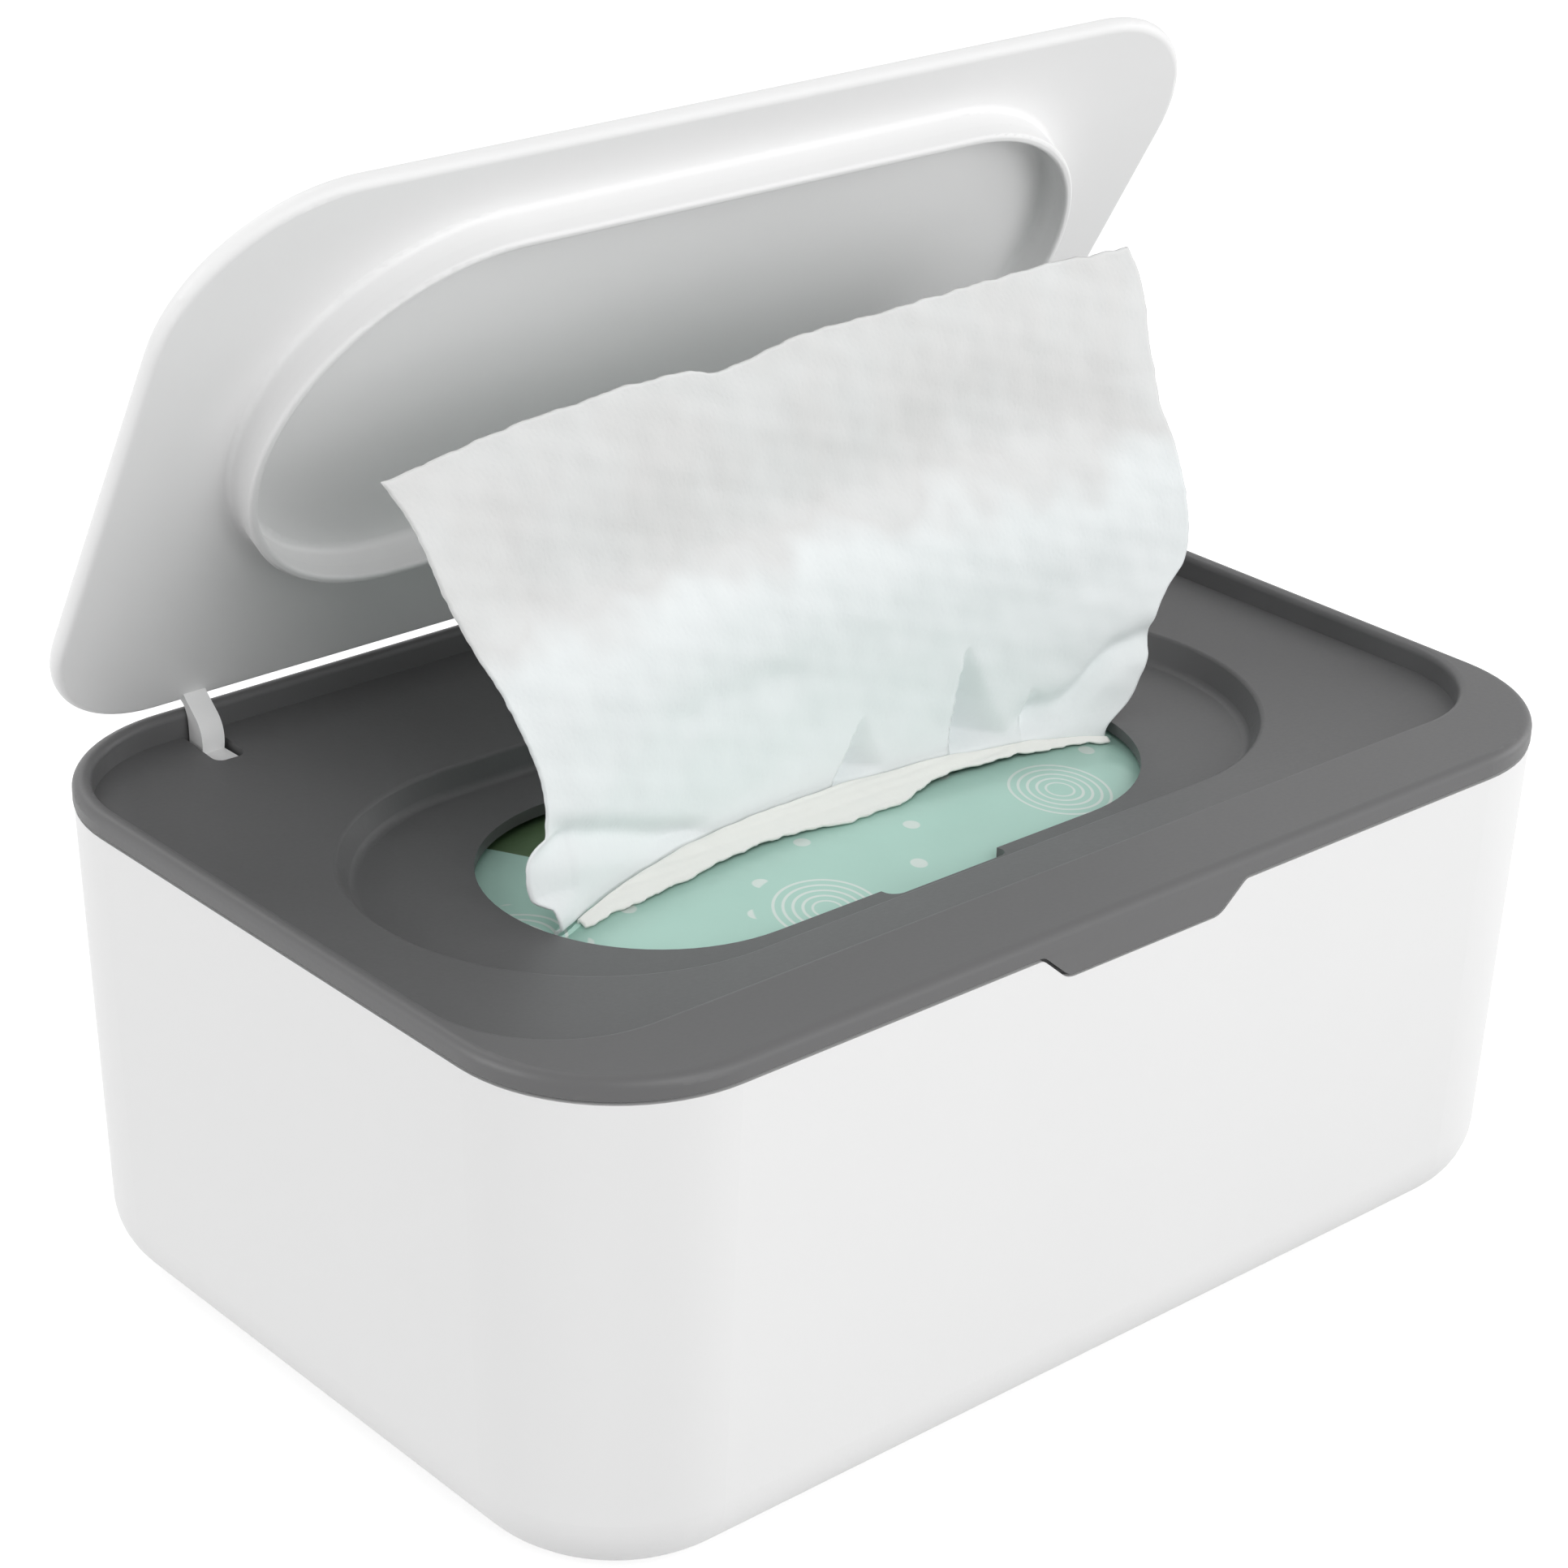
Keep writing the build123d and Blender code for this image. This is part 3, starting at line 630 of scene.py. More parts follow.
# The raised wipe, in millimetres. Its side edges are (z, x), and its top edge is (share of the width, z)
WIPE_FOOT = 64.0
LEFT_EDGE = (
    (64, -52.2), (69.5, -53.2), (77, -52.1), (83, -51.1), (88, -51.4),
    (98, -55.0), (110, -60.6), (128.7, -68.7), (133, -71.6),
)
RIGHT_EDGE = (
    (64, 54.0), (67, 54.3), (70, 58.6), (73.6, 61.2), (78, 63.4),
    (83, 64.2), (86.5, 66.4), (90.3, 70.0), (94, 70.9), (99.6, 70.8),
    (105.6, 69.7), (116, 66.9), (127, 65.8), (135, 64.5), (140, 61.7),
)
TOP_EDGE = (
    (0.0, 131.9), (0.09, 133.7), (0.15, 135.3), (0.22, 136.2), (0.29, 137.2),
    (0.37, 137.2), (0.40, 136.3), (0.46, 137.1), (0.50, 138.3), (0.60, 138.8),
    (0.75, 139.7), (0.85, 140.0), (1.0, 139.6),
)
SLIT_LEFT, SLIT_RIGHT = LEFT_EDGE[0][1], RIGHT_EDGE[0][1]
# How far back the wipe lies: one row for each height, with one y for each share of the width
LEAN_STATIONS = (0.0, 0.25, 0.5, 0.75, 1.0)
LEAN_LEVELS = (64.0, 68.0, 90.4, 112.9, 136.0, 141.0)
SLIT_LINE = (-5.0, 1.5, 3.0, 0.5, -5.5)
LEAN = (
    SLIT_LINE,
    SLIT_LINE,
    (1.0, 2.5, 2.5, 0.0, -4.5),
    (5.0, 4.0, 3.5, 2.0, -1.5),
    (8.0, 5.5, 4.5, 4.0, 3.5),
    (8.3, 5.7, 4.6, 4.1, 3.6),
)
# Ripples are their height, length and seed, and a pair of heights is where something starts and is full
TOP_LENGTH = 140
TOP_RIPPLES = ((0.28, 7.0, 5), (0.12, 1.9, 6))
LEFT_RIPPLES = (0.55, 7.0, 11)
RIGHT_RIPPLES = (0.3, 6.5, 12)
FRAYED_RIPPLES = (0.14, 1.8, 13)
EDGES_FREE = (69, 76)
# The old fold across the wipe: its height in the middle and rise to the right, how it wanders, how far the cloth
# bends above and below it, and the hollow that lies under it
FOLD_HEIGHT, FOLD_SLOPE = 112.5, 0.06
FOLD_WANDER = (1.5, 60.0, 24)
FOLD_DEPTH, FOLD_ABOVE, FOLD_BELOW = 2.6, 11.0, 6.0
HOLLOW_DEPTH, HOLLOW_DROP, HOLLOW_WIDTH = 0.9, 17, 9.0
CLOTH_FREE = (68.5, 80)
# The share of the folds and ripples that the side edges keep, and the shares of the width where it changes
EDGE_KEEPS, INNER_SHARES = 0.3, (0, 0.1, 0.88, 1)
BROAD_RIPPLES, BROAD_STRETCH = (0.8, 46.0, 21), 0.6
MIDDLE_RIPPLES, MIDDLE_FROM = (0.30, 15.0, 22), (68.5, 73)
FINE_RIPPLES, FINE_FROM = (0.14, 5.0, 23), (69, 74)
# Folds that open downwards to the slit: the tip's x and z, how far the sharp left side shifts for each millimetre
# of drop, and the height, width and depth at the foot
DENTS = (
    (29.5, 84.8, -0.15, 16.0, 10.0, 8.0),
    (10.8, 77.6, -0.6, 8.5, 9.0, 5.2),
    (42.0, 76.0, -0.3, 7.0, 8.0, 2.0),
)
DENT_SHARP = (-0.03, 0.09)
# Soft grooves along a line: x stations, heights there, half width and depth
GROOVES = (
    ((36, 44, 48.6, 52.1, 55.4, 62.7, 66), (70.0, 71.4, 71.9, 74.6, 77.4, 79.3, 80), 2.2, 1.7),
    ((-54, -47, -36, -25, -18), (79.5, 77.2, 73.4, 69.2, 68), 2.4, 2.2),
    ((-30, -20, -8, 4), (86, 88, 88.5, 86), 3.5, 0.7),
)
SEATED = (67.4, 69.4)
# The small ear at the left foot, as (z, how far it sticks out), and how much of it turns back
EAR = ((69.5, 0.0), (70.6, 2.2), (72.0, 3.0), (74.5, 3.4), (76.6, 2.8), (77.8, 1.4), (78.6, 0.0))
EAR_SHARE, EAR_TURN = 0.05, 0.30
# The left foot's flare to the front: its depth, its share of the width and its heights
FLARE_DEPTH, FLARE_SHARE = 1.6, 0.07
FLARE_HEIGHTS = (65.5, 66.8, 67.6, 71)


def slit_y(x):
    """How far back the slit lies at x: a shallow arch, its ends forward."""
    return eased((x - SLIT_LEFT) / (SLIT_RIGHT - SLIT_LEFT), LEAN_STATIONS, SLIT_LINE)


def wipe_outline(u, v):
    """Breadth and height of the raised wipe: each column climbs evenly from the slit to the top edge's curve, each
    row runs evenly from the left edge's curve to the right edge's, and ripples fray the free edges."""
    top = eased(u, *zip(*TOP_EDGE))
    for kind in TOP_RIPPLES:
        top = top + ripple(u * TOP_LENGTH, 0 * u, *kind)
    z = WIPE_FOOT + (top - WIPE_FOOT) * v
    first, last = z[:, :1], z[:, -1:]
    frayed = ripple(first, 0 * v, *FRAYED_RIPPLES)
    left_waves = rise(first, *EDGES_FREE) * (ripple(first, 0 * v, *LEFT_RIPPLES) + frayed)
    right_waves = rise(last, *EDGES_FREE) * (ripple(last, 0 * v, *RIGHT_RIPPLES) + frayed)
    left = eased(first, *zip(*LEFT_EDGE)) - left_waves
    right = eased(last, *zip(*RIGHT_EDGE)) + right_waves
    return left + (right - left) * u, z


def old_fold(x, z):
    """Depth of the old fold: a bell that is wider above its line than below, less a wide bell under it."""
    above = z - (FOLD_HEIGHT + FOLD_SLOPE * x + ripple(x, 0 * z, *FOLD_WANDER))
    crest = FOLD_DEPTH * bell(above, np.where(above > 0, FOLD_ABOVE, FOLD_BELOW))
    return crest - HOLLOW_DEPTH * bell(above + HOLLOW_DROP, HOLLOW_WIDTH)


def dents_and_grooves(x, z):
    """Depth of the folds at the slit. A dent deepens evenly from its tip down and is sharp on its left, and a
    groove is a bell across its line that fades at both ends."""
    total = np.zeros_like(x)
    for tip_x, tip_z, shift, tall, wide, depth in DENTS:
        down = np.clip((tip_z - z) / tall, 0, 1)
        across = (x - tip_x - shift * (tip_z - z)) / (1.0 + wide * down)
        total = total + depth * down * plateau(across, *DENT_SHARP, DENT_SHARP[1], 1.0)
    for stations, heights, half_width, depth in GROOVES:
        ends = plateau(x, *stations[:2], *stations[-2:])
        total = total + depth * ends * bell(z - eased(x, stations, heights), half_width)
    return total


def raised_wipe_points(columns, rows):
    """The raised wipe as a grid inside its outline. Its depth is a net of leans, plus the old fold, the dents and
    grooves, ripples of three lengths, an ear at the left foot and a flare under it."""
    u = np.linspace(0, 1, columns)[None, :]
    v = np.linspace(0, 1, rows)[:, None]
    x, z = wipe_outline(u, v)
    levels = np.array([eased(u[0], LEAN_STATIONS, row) for row in LEAN])
    y = np.stack([eased(z[:, i], LEAN_LEVELS, levels[:, i]) for i in range(columns)], axis=1)
    inner = EDGE_KEEPS + (1 - EDGE_KEEPS) * plateau(u, *INNER_SHARES)
    y = y + rise(z, *CLOTH_FREE) * inner * (old_fold(x, z) + ripple(x * BROAD_STRETCH, z, *BROAD_RIPPLES))
    y = y + rise(z, *MIDDLE_FROM) * inner * ripple(x, z, *MIDDLE_RIPPLES)
    y = y + rise(z, *FINE_FROM) * ripple(x, z, *FINE_RIPPLES)
    y = y + rise(z, *SEATED) * dents_and_grooves(x, z)
    hem = np.clip(1 - u / EAR_SHARE, 0, 1)
    ear = np.where((z > EAR[0][0]) & (z < EAR[-1][0]), eased(z, *zip(*EAR)), 0.0)
    ear = np.clip(ear, 0, None)
    y = y + EAR_TURN * ear * np.sqrt(hem)
    y = y - FLARE_DEPTH * np.clip(1 - u / FLARE_SHARE, 0, 1) * plateau(z, *FLARE_HEIGHTS)
    return np.stack([x - ear * hem, y, z], axis=-1)


# The part of a wipe under the film: where it starts below the slit, the rows of its drop and of one layer, the gap
# over the stack, the step from layer to layer, how far out it is spread to its full half width, and where it lands
TAIL_TOP = WIPE_FOOT - 0.3
DROP_ROWS = 8
LAYER_ROWS = 14
STACK_GAP = 0.4
LAYER_STEP = 0.6
TAIL_SPREAD = 20
TAIL_HALF_WIDTH = 66
LANDING = 1.2


def folded_tail(columns, start_y, side, fold, layers):
    """The part of a wipe under the film, as a grid: straight down from the slit to the stack, and then to and fro
    in layers as long as fold, forward for a side of -1 and back for 1. It widens on the way out."""
    drop = np.linspace(0, 1, DROP_ROWS)
    steps = np.linspace(0, 1, LAYER_ROWS + 2)[1:-1]
    top = STACK_HIGH[2] + STACK_GAP
    out = [np.zeros(DROP_ROWS)]
    height = [TAIL_TOP + (top - TAIL_TOP) * drop]
    for layer in range(layers):
        out.append(fold * (steps if layer % 2 == 0 else 1 - steps))
        height.append(np.full(LAYER_ROWS, top + LAYER_STEP * layer))
    out, height = np.concatenate(out)[:, None], np.concatenate(height)[:, None]
    held = np.concatenate([1 - drop, np.zeros(LAYER_ROWS * layers)])[:, None]
    u = np.linspace(0, 1, columns)[None, :]
    share = rise(out, 0, TAIL_SPREAD)
    narrow = SLIT_LEFT + (SLIT_RIGHT - SLIT_LEFT) * u
    wide = -TAIL_HALF_WIDTH + 2 * TAIL_HALF_WIDTH * u
    x = narrow * (1 - share) + wide * share
    y = held * start_y(x) + (1 - held) * (side * LANDING) + out * side
    return np.stack([x, y, height * np.ones_like(x)], axis=-1)


def cloth_layout(points, width):
    """Flat layout in metres: across the cloth by column, and along it by the columns' mean length. Returns it and
    the whole length."""
    steps = np.linalg.norm(np.diff(points, axis=0), axis=-1).mean(axis=1) * MM
    along = np.concatenate([[0.0], np.cumsum(steps)])
    across = np.linspace(0, 1, points.shape[1]) * width
    return np.stack(np.meshgrid(across, along), axis=-1), along[-1]


# The film pouch, in millimetres: its inset, its grid, and the powers that blunt its ends and sides
POUCH_INSET = 0.4
POUCH_AROUND, POUCH_ALONG = 150, 176
END_POWER, END_ROUND = 9, 1 / 4
SIDE_BLUNT = 2 / 4.6
END_HEIGHT = 0.25
UPPER_FILM = (0.2, 0.9)
# The crown: its drop under the pouch's top, and the divisors of its fall across and along
CROWN_DROP, CROWN_ACROSS, CROWN_ALONG = 0.2, 1700, 390
# The slit's lips and the gap between them
LIP_WIDTH = 5.0
LIP_ENDS = (SLIT_LEFT - 3, SLIT_LEFT + 6, SLIT_RIGHT - 6, SLIT_RIGHT + 2)
SPLIT_ENDS = (SLIT_LEFT - 2.5, SLIT_LEFT + 1, SLIT_RIGHT - 0.5, SLIT_RIGHT + 1.2)
FRONT_GAP, REAR_GAP, GAP_FADE = -1.7, 0.9, 9
FILM_RIPPLES = (0.10, 15.0, 31)


def film_height(x, y, lip_lift):
    """Top of the film: a low crown that falls away with the squares of x and y, drawn up beside the slit."""
    crown = POUCH_HIGH[2] - CROWN_DROP - x**2 / CROWN_ACROSS - y**2 / CROWN_ALONG
    return crown + lip_lift * plateau(x, *LIP_ENDS) * bell(y - slit_y(x), LIP_WIDTH)


def pouch_points(lip_lift):
    """The pouch as a grid: its section is a blunt oval that swells from the ends, cut off on top by the film's
    height. The grid's seam runs along the slit, where its two edges part."""
    centre = (POUCH_LOW + POUCH_HIGH) / 2
    half = (POUCH_HIGH - POUCH_LOW) / 2 - POUCH_INSET
    x = half[0] * np.sin(np.linspace(-np.pi / 2, np.pi / 2, POUCH_ALONG))[None, :]
    turn = np.linspace(np.pi / 2, 5 * np.pi / 2, POUCH_AROUND)[:, None]
    swell = (1 - (np.abs(x) / half[0]) ** END_POWER) ** END_ROUND
    y = -half[1] * swell * signed_power(np.cos(turn), SIDE_BLUNT)
    lift = signed_power(np.sin(turn), SIDE_BLUNT)
    z = centre[2] + half[2] * lift * (END_HEIGHT + (1 - END_HEIGHT) * swell)
    from_middle = np.clip(np.abs(y) / half[1], 0, 1)
    top = lift > 0
    y = y + slit_y(np.clip(x, SLIT_LEFT, SLIT_RIGHT)) * (1 - from_middle) * top
    gap = np.where(turn < 1.5 * np.pi, FRONT_GAP, REAR_GAP) * plateau(x, *SPLIT_ENDS)
    y = y + gap * np.exp(-from_middle * GAP_FADE) * top
    upper = rise(lift, *UPPER_FILM)
    crown = film_height(x, y, lip_lift) + ripple(x, y, *FILM_RIPPLES)
    z = z * (1 - upper) + np.minimum(z, crown) * upper
    return np.stack([x * np.ones_like(y), y, z], axis=-1)


# The stack, in millimetres: its grid, its inset, the layers' bulge and pitch, and its blunt corners
STACK_AROUND, STACK_ROWS, CAP_ROWS = 240, 201, 8
STACK_INSET, LAYERS_SHARE = 0.8, 0.6
LAYER_BULGE, LAYER_PITCH = 0.35, 1.0
LAYER_RIPPLES, LAYER_STRETCH = (0.3, 5.0, 41), 8
CORNER_BLUNT = 2 / 14
CAP_SHARES = (0.02, 0.98)


def stack_points():
    """The folded stack as a grid: a blunt box whose wall bulges once for each layer, with flat ends."""
    centre = (STACK_LOW + STACK_HIGH) / 2
    half = (STACK_HIGH - STACK_LOW) / 2
    turn = np.linspace(0, 2 * np.pi, STACK_AROUND, endpoint=False)[None, :]
    z = STACK_LOW[2] + (STACK_HIGH[2] - STACK_LOW[2]) * np.linspace(0, 1, STACK_ROWS)[:, None]
    layers = LAYER_BULGE * np.abs(np.sin(np.pi * (z - STACK_LOW[2]) / LAYER_PITCH))
    inset = STACK_INSET - (layers + ripple(z, LAYER_STRETCH * turn, *LAYER_RIPPLES)) * LAYERS_SHARE
    x = centre[0] + (half[0] - inset) * signed_power(np.cos(turn), CORNER_BLUNT)
    y = centre[1] + (half[1] - inset) * signed_power(np.sin(turn), CORNER_BLUNT)
    wall = np.stack([x, y, z * np.ones_like(x)], axis=-1)
    shares = np.linspace(*CAP_SHARES, CAP_ROWS)[:, None, None]
    flat, upright = np.array([1, 1, 0]), np.array([0, 0, 1])
    floor = wall[0] * flat * shares + wall[0] * upright
    roof = wall[-1] * flat * shares[::-1] + wall[-1] * upright
    return np.concatenate([floor, wall, roof])


# The next wipe's edge, in millimetres: its front line as (x, y), its place in the slit, and its torn edge
NEXT_FRONT = (
    (-53, -7.0), (-49, -6.9), (-42, -6.2), (-31, -5.3), (-18, -3.6), (-8, -3.8), (1, -5.7),
    (9.5, -5.8), (22, -3.0), (31, -3.3), (37, -4.2), (44, -5.6), (52, -7.0), (55, -7.6),
)
NEXT_LEFT, NEXT_NARROWER, NEXT_AHEAD = 3.4, 4.0, 0.9
NEXT_RIPPLES = (0.5, 9.0, 52)
TORN_RIPPLES = ((0.4, 3.2, 51), (0.15, 1.2, 55))
# The share of its rows that climb out of the slit, and how far that part leans forward
CLIMB_SHARE, CLIMB_LEAN = 0.35, 0.25
# Its crest: the least and the added height, its ripples, and how it tapers to the left and the right
CREST_BASE, CREST_RIPPLES = 0.7, (0.3, 16.0, 53)
TAPER_LEAST, TAPER_LEFT, TAPER_RIGHT, RIGHT_DROP = 0.3, 16, 14, 0.6
LIE_ROUND, CREST_ROUND = 0.8, 1.3
PUCKER_RIPPLES = (0.2, 4.0, 54)
RIDGE_RIPPLES, RIDGE_STRETCH = (0.22, 1.7, 56), 0.1
RIDGE_ROWS = (0.02, 0.2, 0.8, 1)
FILM_CLEARANCE = 0.16


def next_slit_y(x):
    """Where the next wipe leaves the slit at x: a little ahead of the raised wipe."""
    return slit_y(x) - NEXT_AHEAD


def next_edge_points(columns, rows, lip_lift):
    """The next wipe's edge as a grid, from its torn front line back over a crest and down into the slit. The crest
    falls to the front as a power of a quarter cosine, and rests on the film."""
    u = np.linspace(0, 1, columns)[None, :]
    x = (SLIT_LEFT + NEXT_LEFT) + (SLIT_RIGHT - SLIT_LEFT - NEXT_NARROWER) * u
    back = next_slit_y(x)
    torn = sum(ripple(x, 0 * x, *kind) for kind in TORN_RIPPLES)
    front = eased(x, *zip(*NEXT_FRONT)) + ripple(x, 0 * x, *NEXT_RIPPLES) + torn
    s = np.linspace(0, 1, rows)[:, None]
    climb = np.clip(s / CLIMB_SHARE, 0, 1)
    lie = np.clip((s - CLIMB_SHARE) / (1 - CLIMB_SHARE), 0, 1)
    fall = np.cos(lie * np.pi / 2)
    left_taper = rise(x, SLIT_LEFT, SLIT_LEFT + TAPER_LEFT)
    taper = left_taper * (1 - RIGHT_DROP * rise(x, SLIT_RIGHT - TAPER_RIGHT, SLIT_RIGHT))
    crest = (CREST_BASE + ripple(x, 0 * x, *CREST_RIPPLES)) * (TAPER_LEAST + (1 - TAPER_LEAST) * taper)
    y = back - CLIMB_LEAN * climb + (front - back + CLIMB_LEAN) * (1 - fall) ** LIE_ROUND
    height = crest * fall**CREST_ROUND * (1 + ripple(x, y, *PUCKER_RIPPLES)) + FILM_CLEARANCE
    height = height + plateau(lie, *RIDGE_ROWS) * ripple(RIDGE_STRETCH * x, y, *RIDGE_RIPPLES)
    top = film_height(x, y, lip_lift) + height
    z = np.where(lie > 0, top, WIPE_FOOT + (top - WIPE_FOOT) * climb)
    return np.stack([x * np.ones_like(y), y, z], axis=-1)[::-1]


class WIPESBOX_OT_shells(bpy.types.Operator):
    """Finish the tub, the top frame and the lid as satin moulded plastic"""

    bl_idname = "wipesbox.shells"
    bl_label = "Moulded shells"

    def execute(self, context):
        look = context.scene.wipesbox_shells
        dress("box_body", moulded_material("white_shell", look.white, 0.42, look.grain))
        # The lid's lighter white is painted light for its shaded pocket.
        dress("lid", moulded_material("white_lid", look.lid, 0.47, look.grain))
        grey = moulded_material("grey_shell", look.grey, 0.46, look.grain, cloud=0.08, strength=0.14)
        dress("top_frame", grey)
        return {"FINISHED"}


class WIPESBOX_OT_fittings(bpy.types.Operator):
    """Finish the sealing lip, the hinge pins and the feet"""

    bl_idname = "wipesbox.fittings"
    bl_label = "Seal, pins and feet"

    def execute(self, context):
        look = context.scene.wipesbox_shells
        finer = 0.8
        dress("lid_seal", moulded_material("pale_silicone", look.silicone, 0.50, look.grain * finer))
        steel = steel_material(tuple(look.pin))
        rubber = moulded_material("foot_rubber", look.foot, 0.70, look.grain, cloud=0.06, strength=0.3)
        for side in ("left", "right"):
            dress(f"hinge_pin_{side}", steel)
            for end in ("front", "rear"):
                dress(f"foot_{end}_{side}", rubber)
        return {"FINISHED"}


class WIPESBOX_OT_pouch(bpy.types.Operator):
    """Build the film pouch with its slit"""

    bl_idname = "wipesbox.pouch"
    bl_label = "Film pouch"

    def execute(self, context):
        look = context.scene.wipesbox_refill
        points = pouch_points(look.lip_lift / MM)
        faces = grid_faces(POUCH_AROUND, POUCH_ALONG)
        piece = add_mesh("film_pouch", points, faces, film_material(look), "box")
        merge_doubles(piece, 0.02 * MM)
        thicken(piece, look.film, offset=-1.0)
        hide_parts("refill_pouch")
        return {"FINISHED"}


class WIPESBOX_OT_stack(bpy.types.Operator):
    """Build the stack of folded wipes"""

    bl_idname = "wipesbox.stack"
    bl_label = "Folded stack"

    def execute(self, context):
        look = context.scene.wipesbox_wipes
        points = stack_points()
        rows, around = points.shape[:2]
        faces = grid_faces(rows, around, wrap=True)
        faces.append(list(range(around))[::-1])
        faces.append(list(range((rows - 1) * around, rows * around)))
        cloth = cloth_material("stacked_wipes", look, look.cloth, 0.4, on_uv=False)
        piece = add_mesh("folded_stack", points, faces, cloth, "box")
        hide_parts("wipe_stack")
        return {"FINISHED"}


class WIPESBOX_OT_raised_wipe(bpy.types.Operator):
    """Build the wipe that is pulled up through the slit, and its folded tail on the stack"""

    bl_idname = "wipesbox.raised_wipe"
    bl_label = "Raised wipe"

    def execute(self, context):
        look = context.scene.wipesbox_wipes
        cloth = cloth_material("wipe_cloth", look, look.cloth, 1.0, look.wet_and_lit_below)
        columns, rows = 240, 160
        points = raised_wipe_points(columns, rows)
        layout, tall = cloth_layout(points, look.width)
        piece = add_mesh("pulled_wipe", points, grid_faces(rows, columns), cloth, "box", layout)
        thicken(piece, look.thickness)
        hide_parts("raised_wipe")
        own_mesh(piece)
        columns = 60
        tail = folded_tail(columns, slit_y, side=-1, fold=39.2, layers=3)
        layout, deep = cloth_layout(tail, look.width)
        under = add_mesh("wipe_tail", tail, grid_faces(len(tail), columns), cloth, "box", layout)
        thicken(under, look.thickness)
        return {"FINISHED"}


class WIPESBOX_OT_next_wipe(bpy.types.Operator):
    """Build the next wipe: its edge lies forward over the film, and the rest is folded on the stack"""

    bl_idname = "wipesbox.next_wipe"
    bl_label = "Next wipe"

    def execute(self, context):
        look = context.scene.wipesbox_wipes
        columns, rows = 220, 34
        edge = next_edge_points(columns, rows, context.scene.wipesbox_refill.lip_lift / MM)
        tail = folded_tail(columns, next_slit_y, side=1, fold=48.0, layers=4)
        tail[:DROP_ROWS, :, 0] = edge[-1, :, 0]
        points = np.concatenate([edge, tail])
        layout, long = cloth_layout(points, look.width)
        # The next wipe's edge colour is painted lighter against the shade in the hollow.
        cloth = cloth_material("next_cloth", look, look.edge, 0.15)
        piece = add_mesh("next_edge", points, grid_faces(len(points), columns), cloth, "box", layout)
        thicken(piece, look.thickness)
        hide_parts("next_wipe")
        return {"FINISHED"}


# Each lamp's setting, place in metres and size across, and the point that all of them face
LAMPS = (
    ("key", (-0.15, -1.1, 0.75), 0.9),
    ("low_key", (0.45, -1.35, 0.32), 0.9),
    ("side", (-1.25, 0.40, 0.45), 0.8),
    ("far_side", (1.25, -0.45, 0.30), 0.7),
    ("back", (0.0, 0.9, 1.1), 0.9),
)
LAMPS_FACE = Vector((0, 0, 0.06))
FLOOR_HALF = 3.0
FLOOR_SHADES = ((0.59, 0.59, 0.59), (0.61, 0.61, 0.61))
FLOOR_GLOW = 0.66


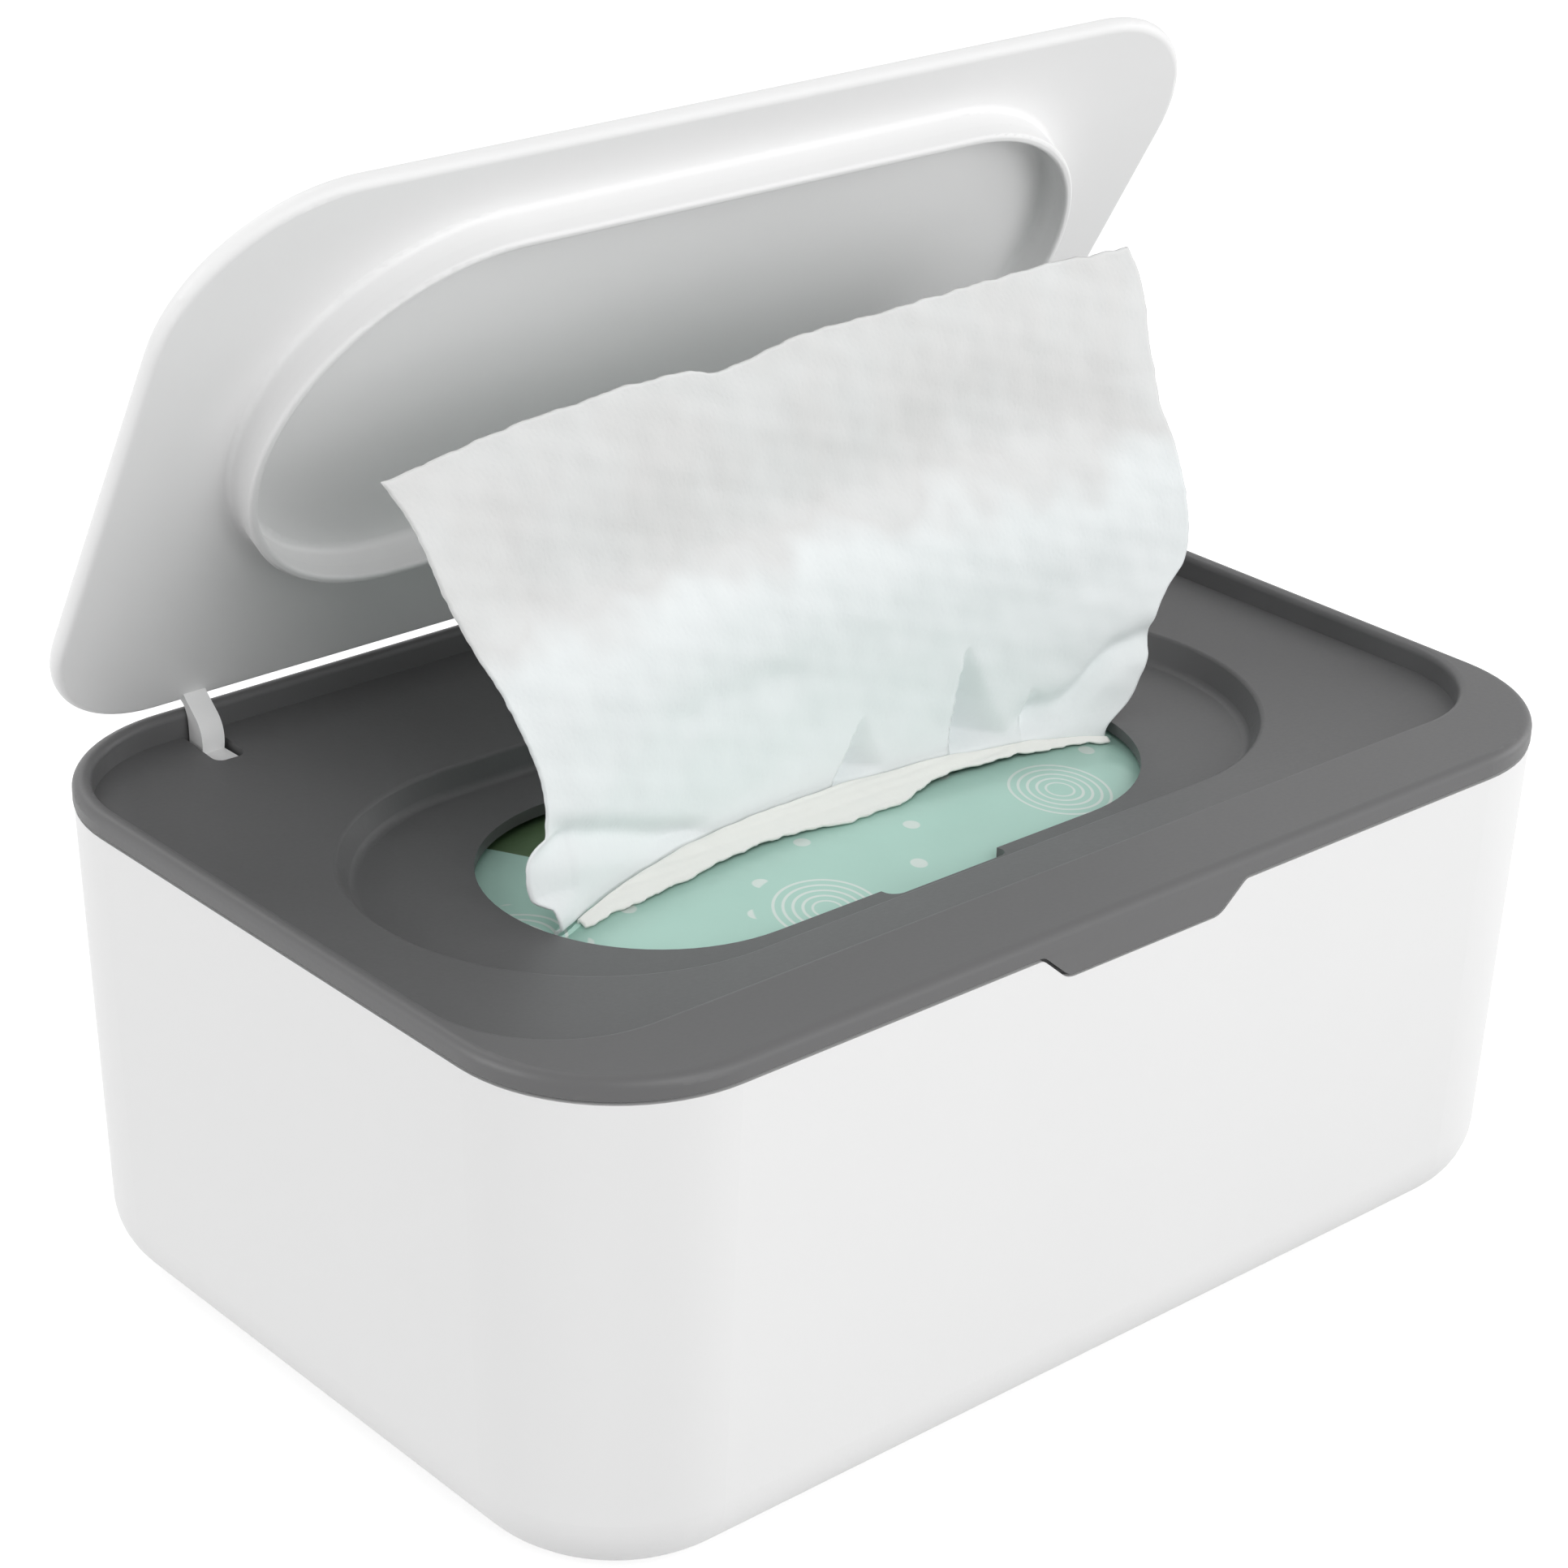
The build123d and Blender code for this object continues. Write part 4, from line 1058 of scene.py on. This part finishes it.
class WIPESBOX_OT_stage(bpy.types.Operator):
    """Set the pale floor, the soft lights and the camera"""

    bl_idname = "wipesbox.stage"
    bl_label = "Stage"

    def execute(self, context):
        scene = context.scene
        setup = scene.wipesbox_stage
        scene.view_settings.view_transform = "Standard"
        self.add_world(scene, setup.sky)
        self.add_floor(scene)
        for name, place, size in LAMPS:
            self.add_lamp(scene, name, Vector(place), size, getattr(setup, name))
        self.add_camera(scene, setup)
        return {"FINISHED"}

    def add_world(self, scene, strength):
        """White to the camera, in gloss and through glass, and a plain grey light on everything."""
        world = bpy.data.worlds.new("studio")
        scene.world = world
        world.use_nodes = True
        tree = world.node_tree
        level = scaled(tree, seen_or_mirrored(tree), 1.0 - strength, strength)
        feed(tree, tree.nodes["Background"].inputs, {"Color": (1, 1, 1, 1), "Strength": level})

    def add_floor(self, scene):
        """A wide white sheet, which keeps the object's shadow."""
        mesh = bpy.data.meshes.new("floor")
        half = FLOOR_HALF
        corners = [(-half, -half, 0), (half, -half, 0), (half, half, 0), (-half, half, 0)]
        mesh.from_pydata(corners, [], [(0, 1, 2, 3)])
        floor = bpy.data.objects.new("floor", mesh)
        scene.collection.objects.link(floor)
        material, tree, shader = new_material("floor_white")
        values = {
            "Base Color": blended(tree, noise(tree, own_place(tree), 300.0, 2.0), *FLOOR_SHADES),
            "Roughness": 0.9,
            "Emission Color": (1, 1, 1, 1),
            "Emission Strength": scaled(tree, seen_or_mirrored(tree), FLOOR_GLOW),
        }
        feed(tree, shader.inputs, values)
        mesh.materials.append(material)

    def add_lamp(self, scene, name, place, size, power):
        """A round soft lamp that faces the box."""
        light = bpy.data.lights.new(name, "AREA")
        light.shape = "DISK"
        light.size = size
        light.energy = power
        lamp = bpy.data.objects.new(name, light)
        lamp.location = place
        lamp.rotation_euler = (LAMPS_FACE - place).to_track_quat("-Z", "Y").to_euler()
        scene.collection.objects.link(lamp)

    def add_camera(self, scene, setup):
        """The camera looks along a yaw and pitch, and is rolled about that line."""
        level = np.cos(setup.pitch)
        back = Vector((np.sin(setup.yaw) * level, -np.cos(setup.yaw) * level, np.sin(setup.pitch)))
        across = (-back).cross(Vector((0, 0, 1))).normalized()
        upward = across.cross(-back)
        right = np.cos(setup.roll) * across + np.sin(setup.roll) * upward
        above = -np.sin(setup.roll) * across + np.cos(setup.roll) * upward
        data = bpy.data.cameras.new("photo_view")
        data.sensor_width = 36.0
        data.lens = setup.lens
        data.shift_x = setup.shift_x
        data.shift_y = setup.shift_y
        data.clip_start = 0.01
        camera = bpy.data.objects.new("photo_view", data)
        turn = Matrix((right, above, back)).transposed()
        camera.matrix_world = Matrix.Translation(setup.place) @ turn.to_4x4()
        scene.collection.objects.link(camera)
        scene.camera = camera


class WIPESBOX_PT_panel(bpy.types.Panel):
    """Lists the steps that dress the wipes box, and their settings"""

    bl_label = "Wipes Box"
    bl_idname = "WIPESBOX_PT_panel"
    bl_space_type = "VIEW_3D"
    bl_region_type = "UI"
    bl_category = "Wipes Box"

    def draw(self, context):
        for step in STEPS:
            self.layout.operator(step.bl_idname)
        for name, group in SETTINGS.items():
            box = self.layout.box()
            for setting in group.__annotations__:
                box.prop(getattr(context.scene, name), setting)


SETTINGS = {
    "wipesbox_shells": ShellFinish,
    "wipesbox_refill": RefillLook,
    "wipesbox_wipes": WipeLook,
    "wipesbox_stage": StageSetup,
}
STEPS = (
    WIPESBOX_OT_stage,
    WIPESBOX_OT_shells,
    WIPESBOX_OT_fittings,
    WIPESBOX_OT_pouch,
    WIPESBOX_OT_stack,
    WIPESBOX_OT_raised_wipe,
    WIPESBOX_OT_next_wipe,
)
CLASSES = (*SETTINGS.values(), *STEPS, WIPESBOX_PT_panel)


def register():
    for kind in CLASSES:
        bpy.utils.register_class(kind)
    for name, group in SETTINGS.items():
        setattr(bpy.types.Scene, name, bpy.props.PointerProperty(type=group))


def unregister():
    for name in SETTINGS:
        delattr(bpy.types.Scene, name)
    for kind in reversed(CLASSES):
        bpy.utils.unregister_class(kind)


def main():
    register()
    bpy.ops.wipesbox.stage()
    bpy.ops.wipesbox.shells()
    bpy.ops.wipesbox.fittings()
    bpy.ops.wipesbox.pouch()
    bpy.ops.wipesbox.stack()
    bpy.ops.wipesbox.raised_wipe()
    bpy.ops.wipesbox.next_wipe()


if __name__ == "__main__":
    main()
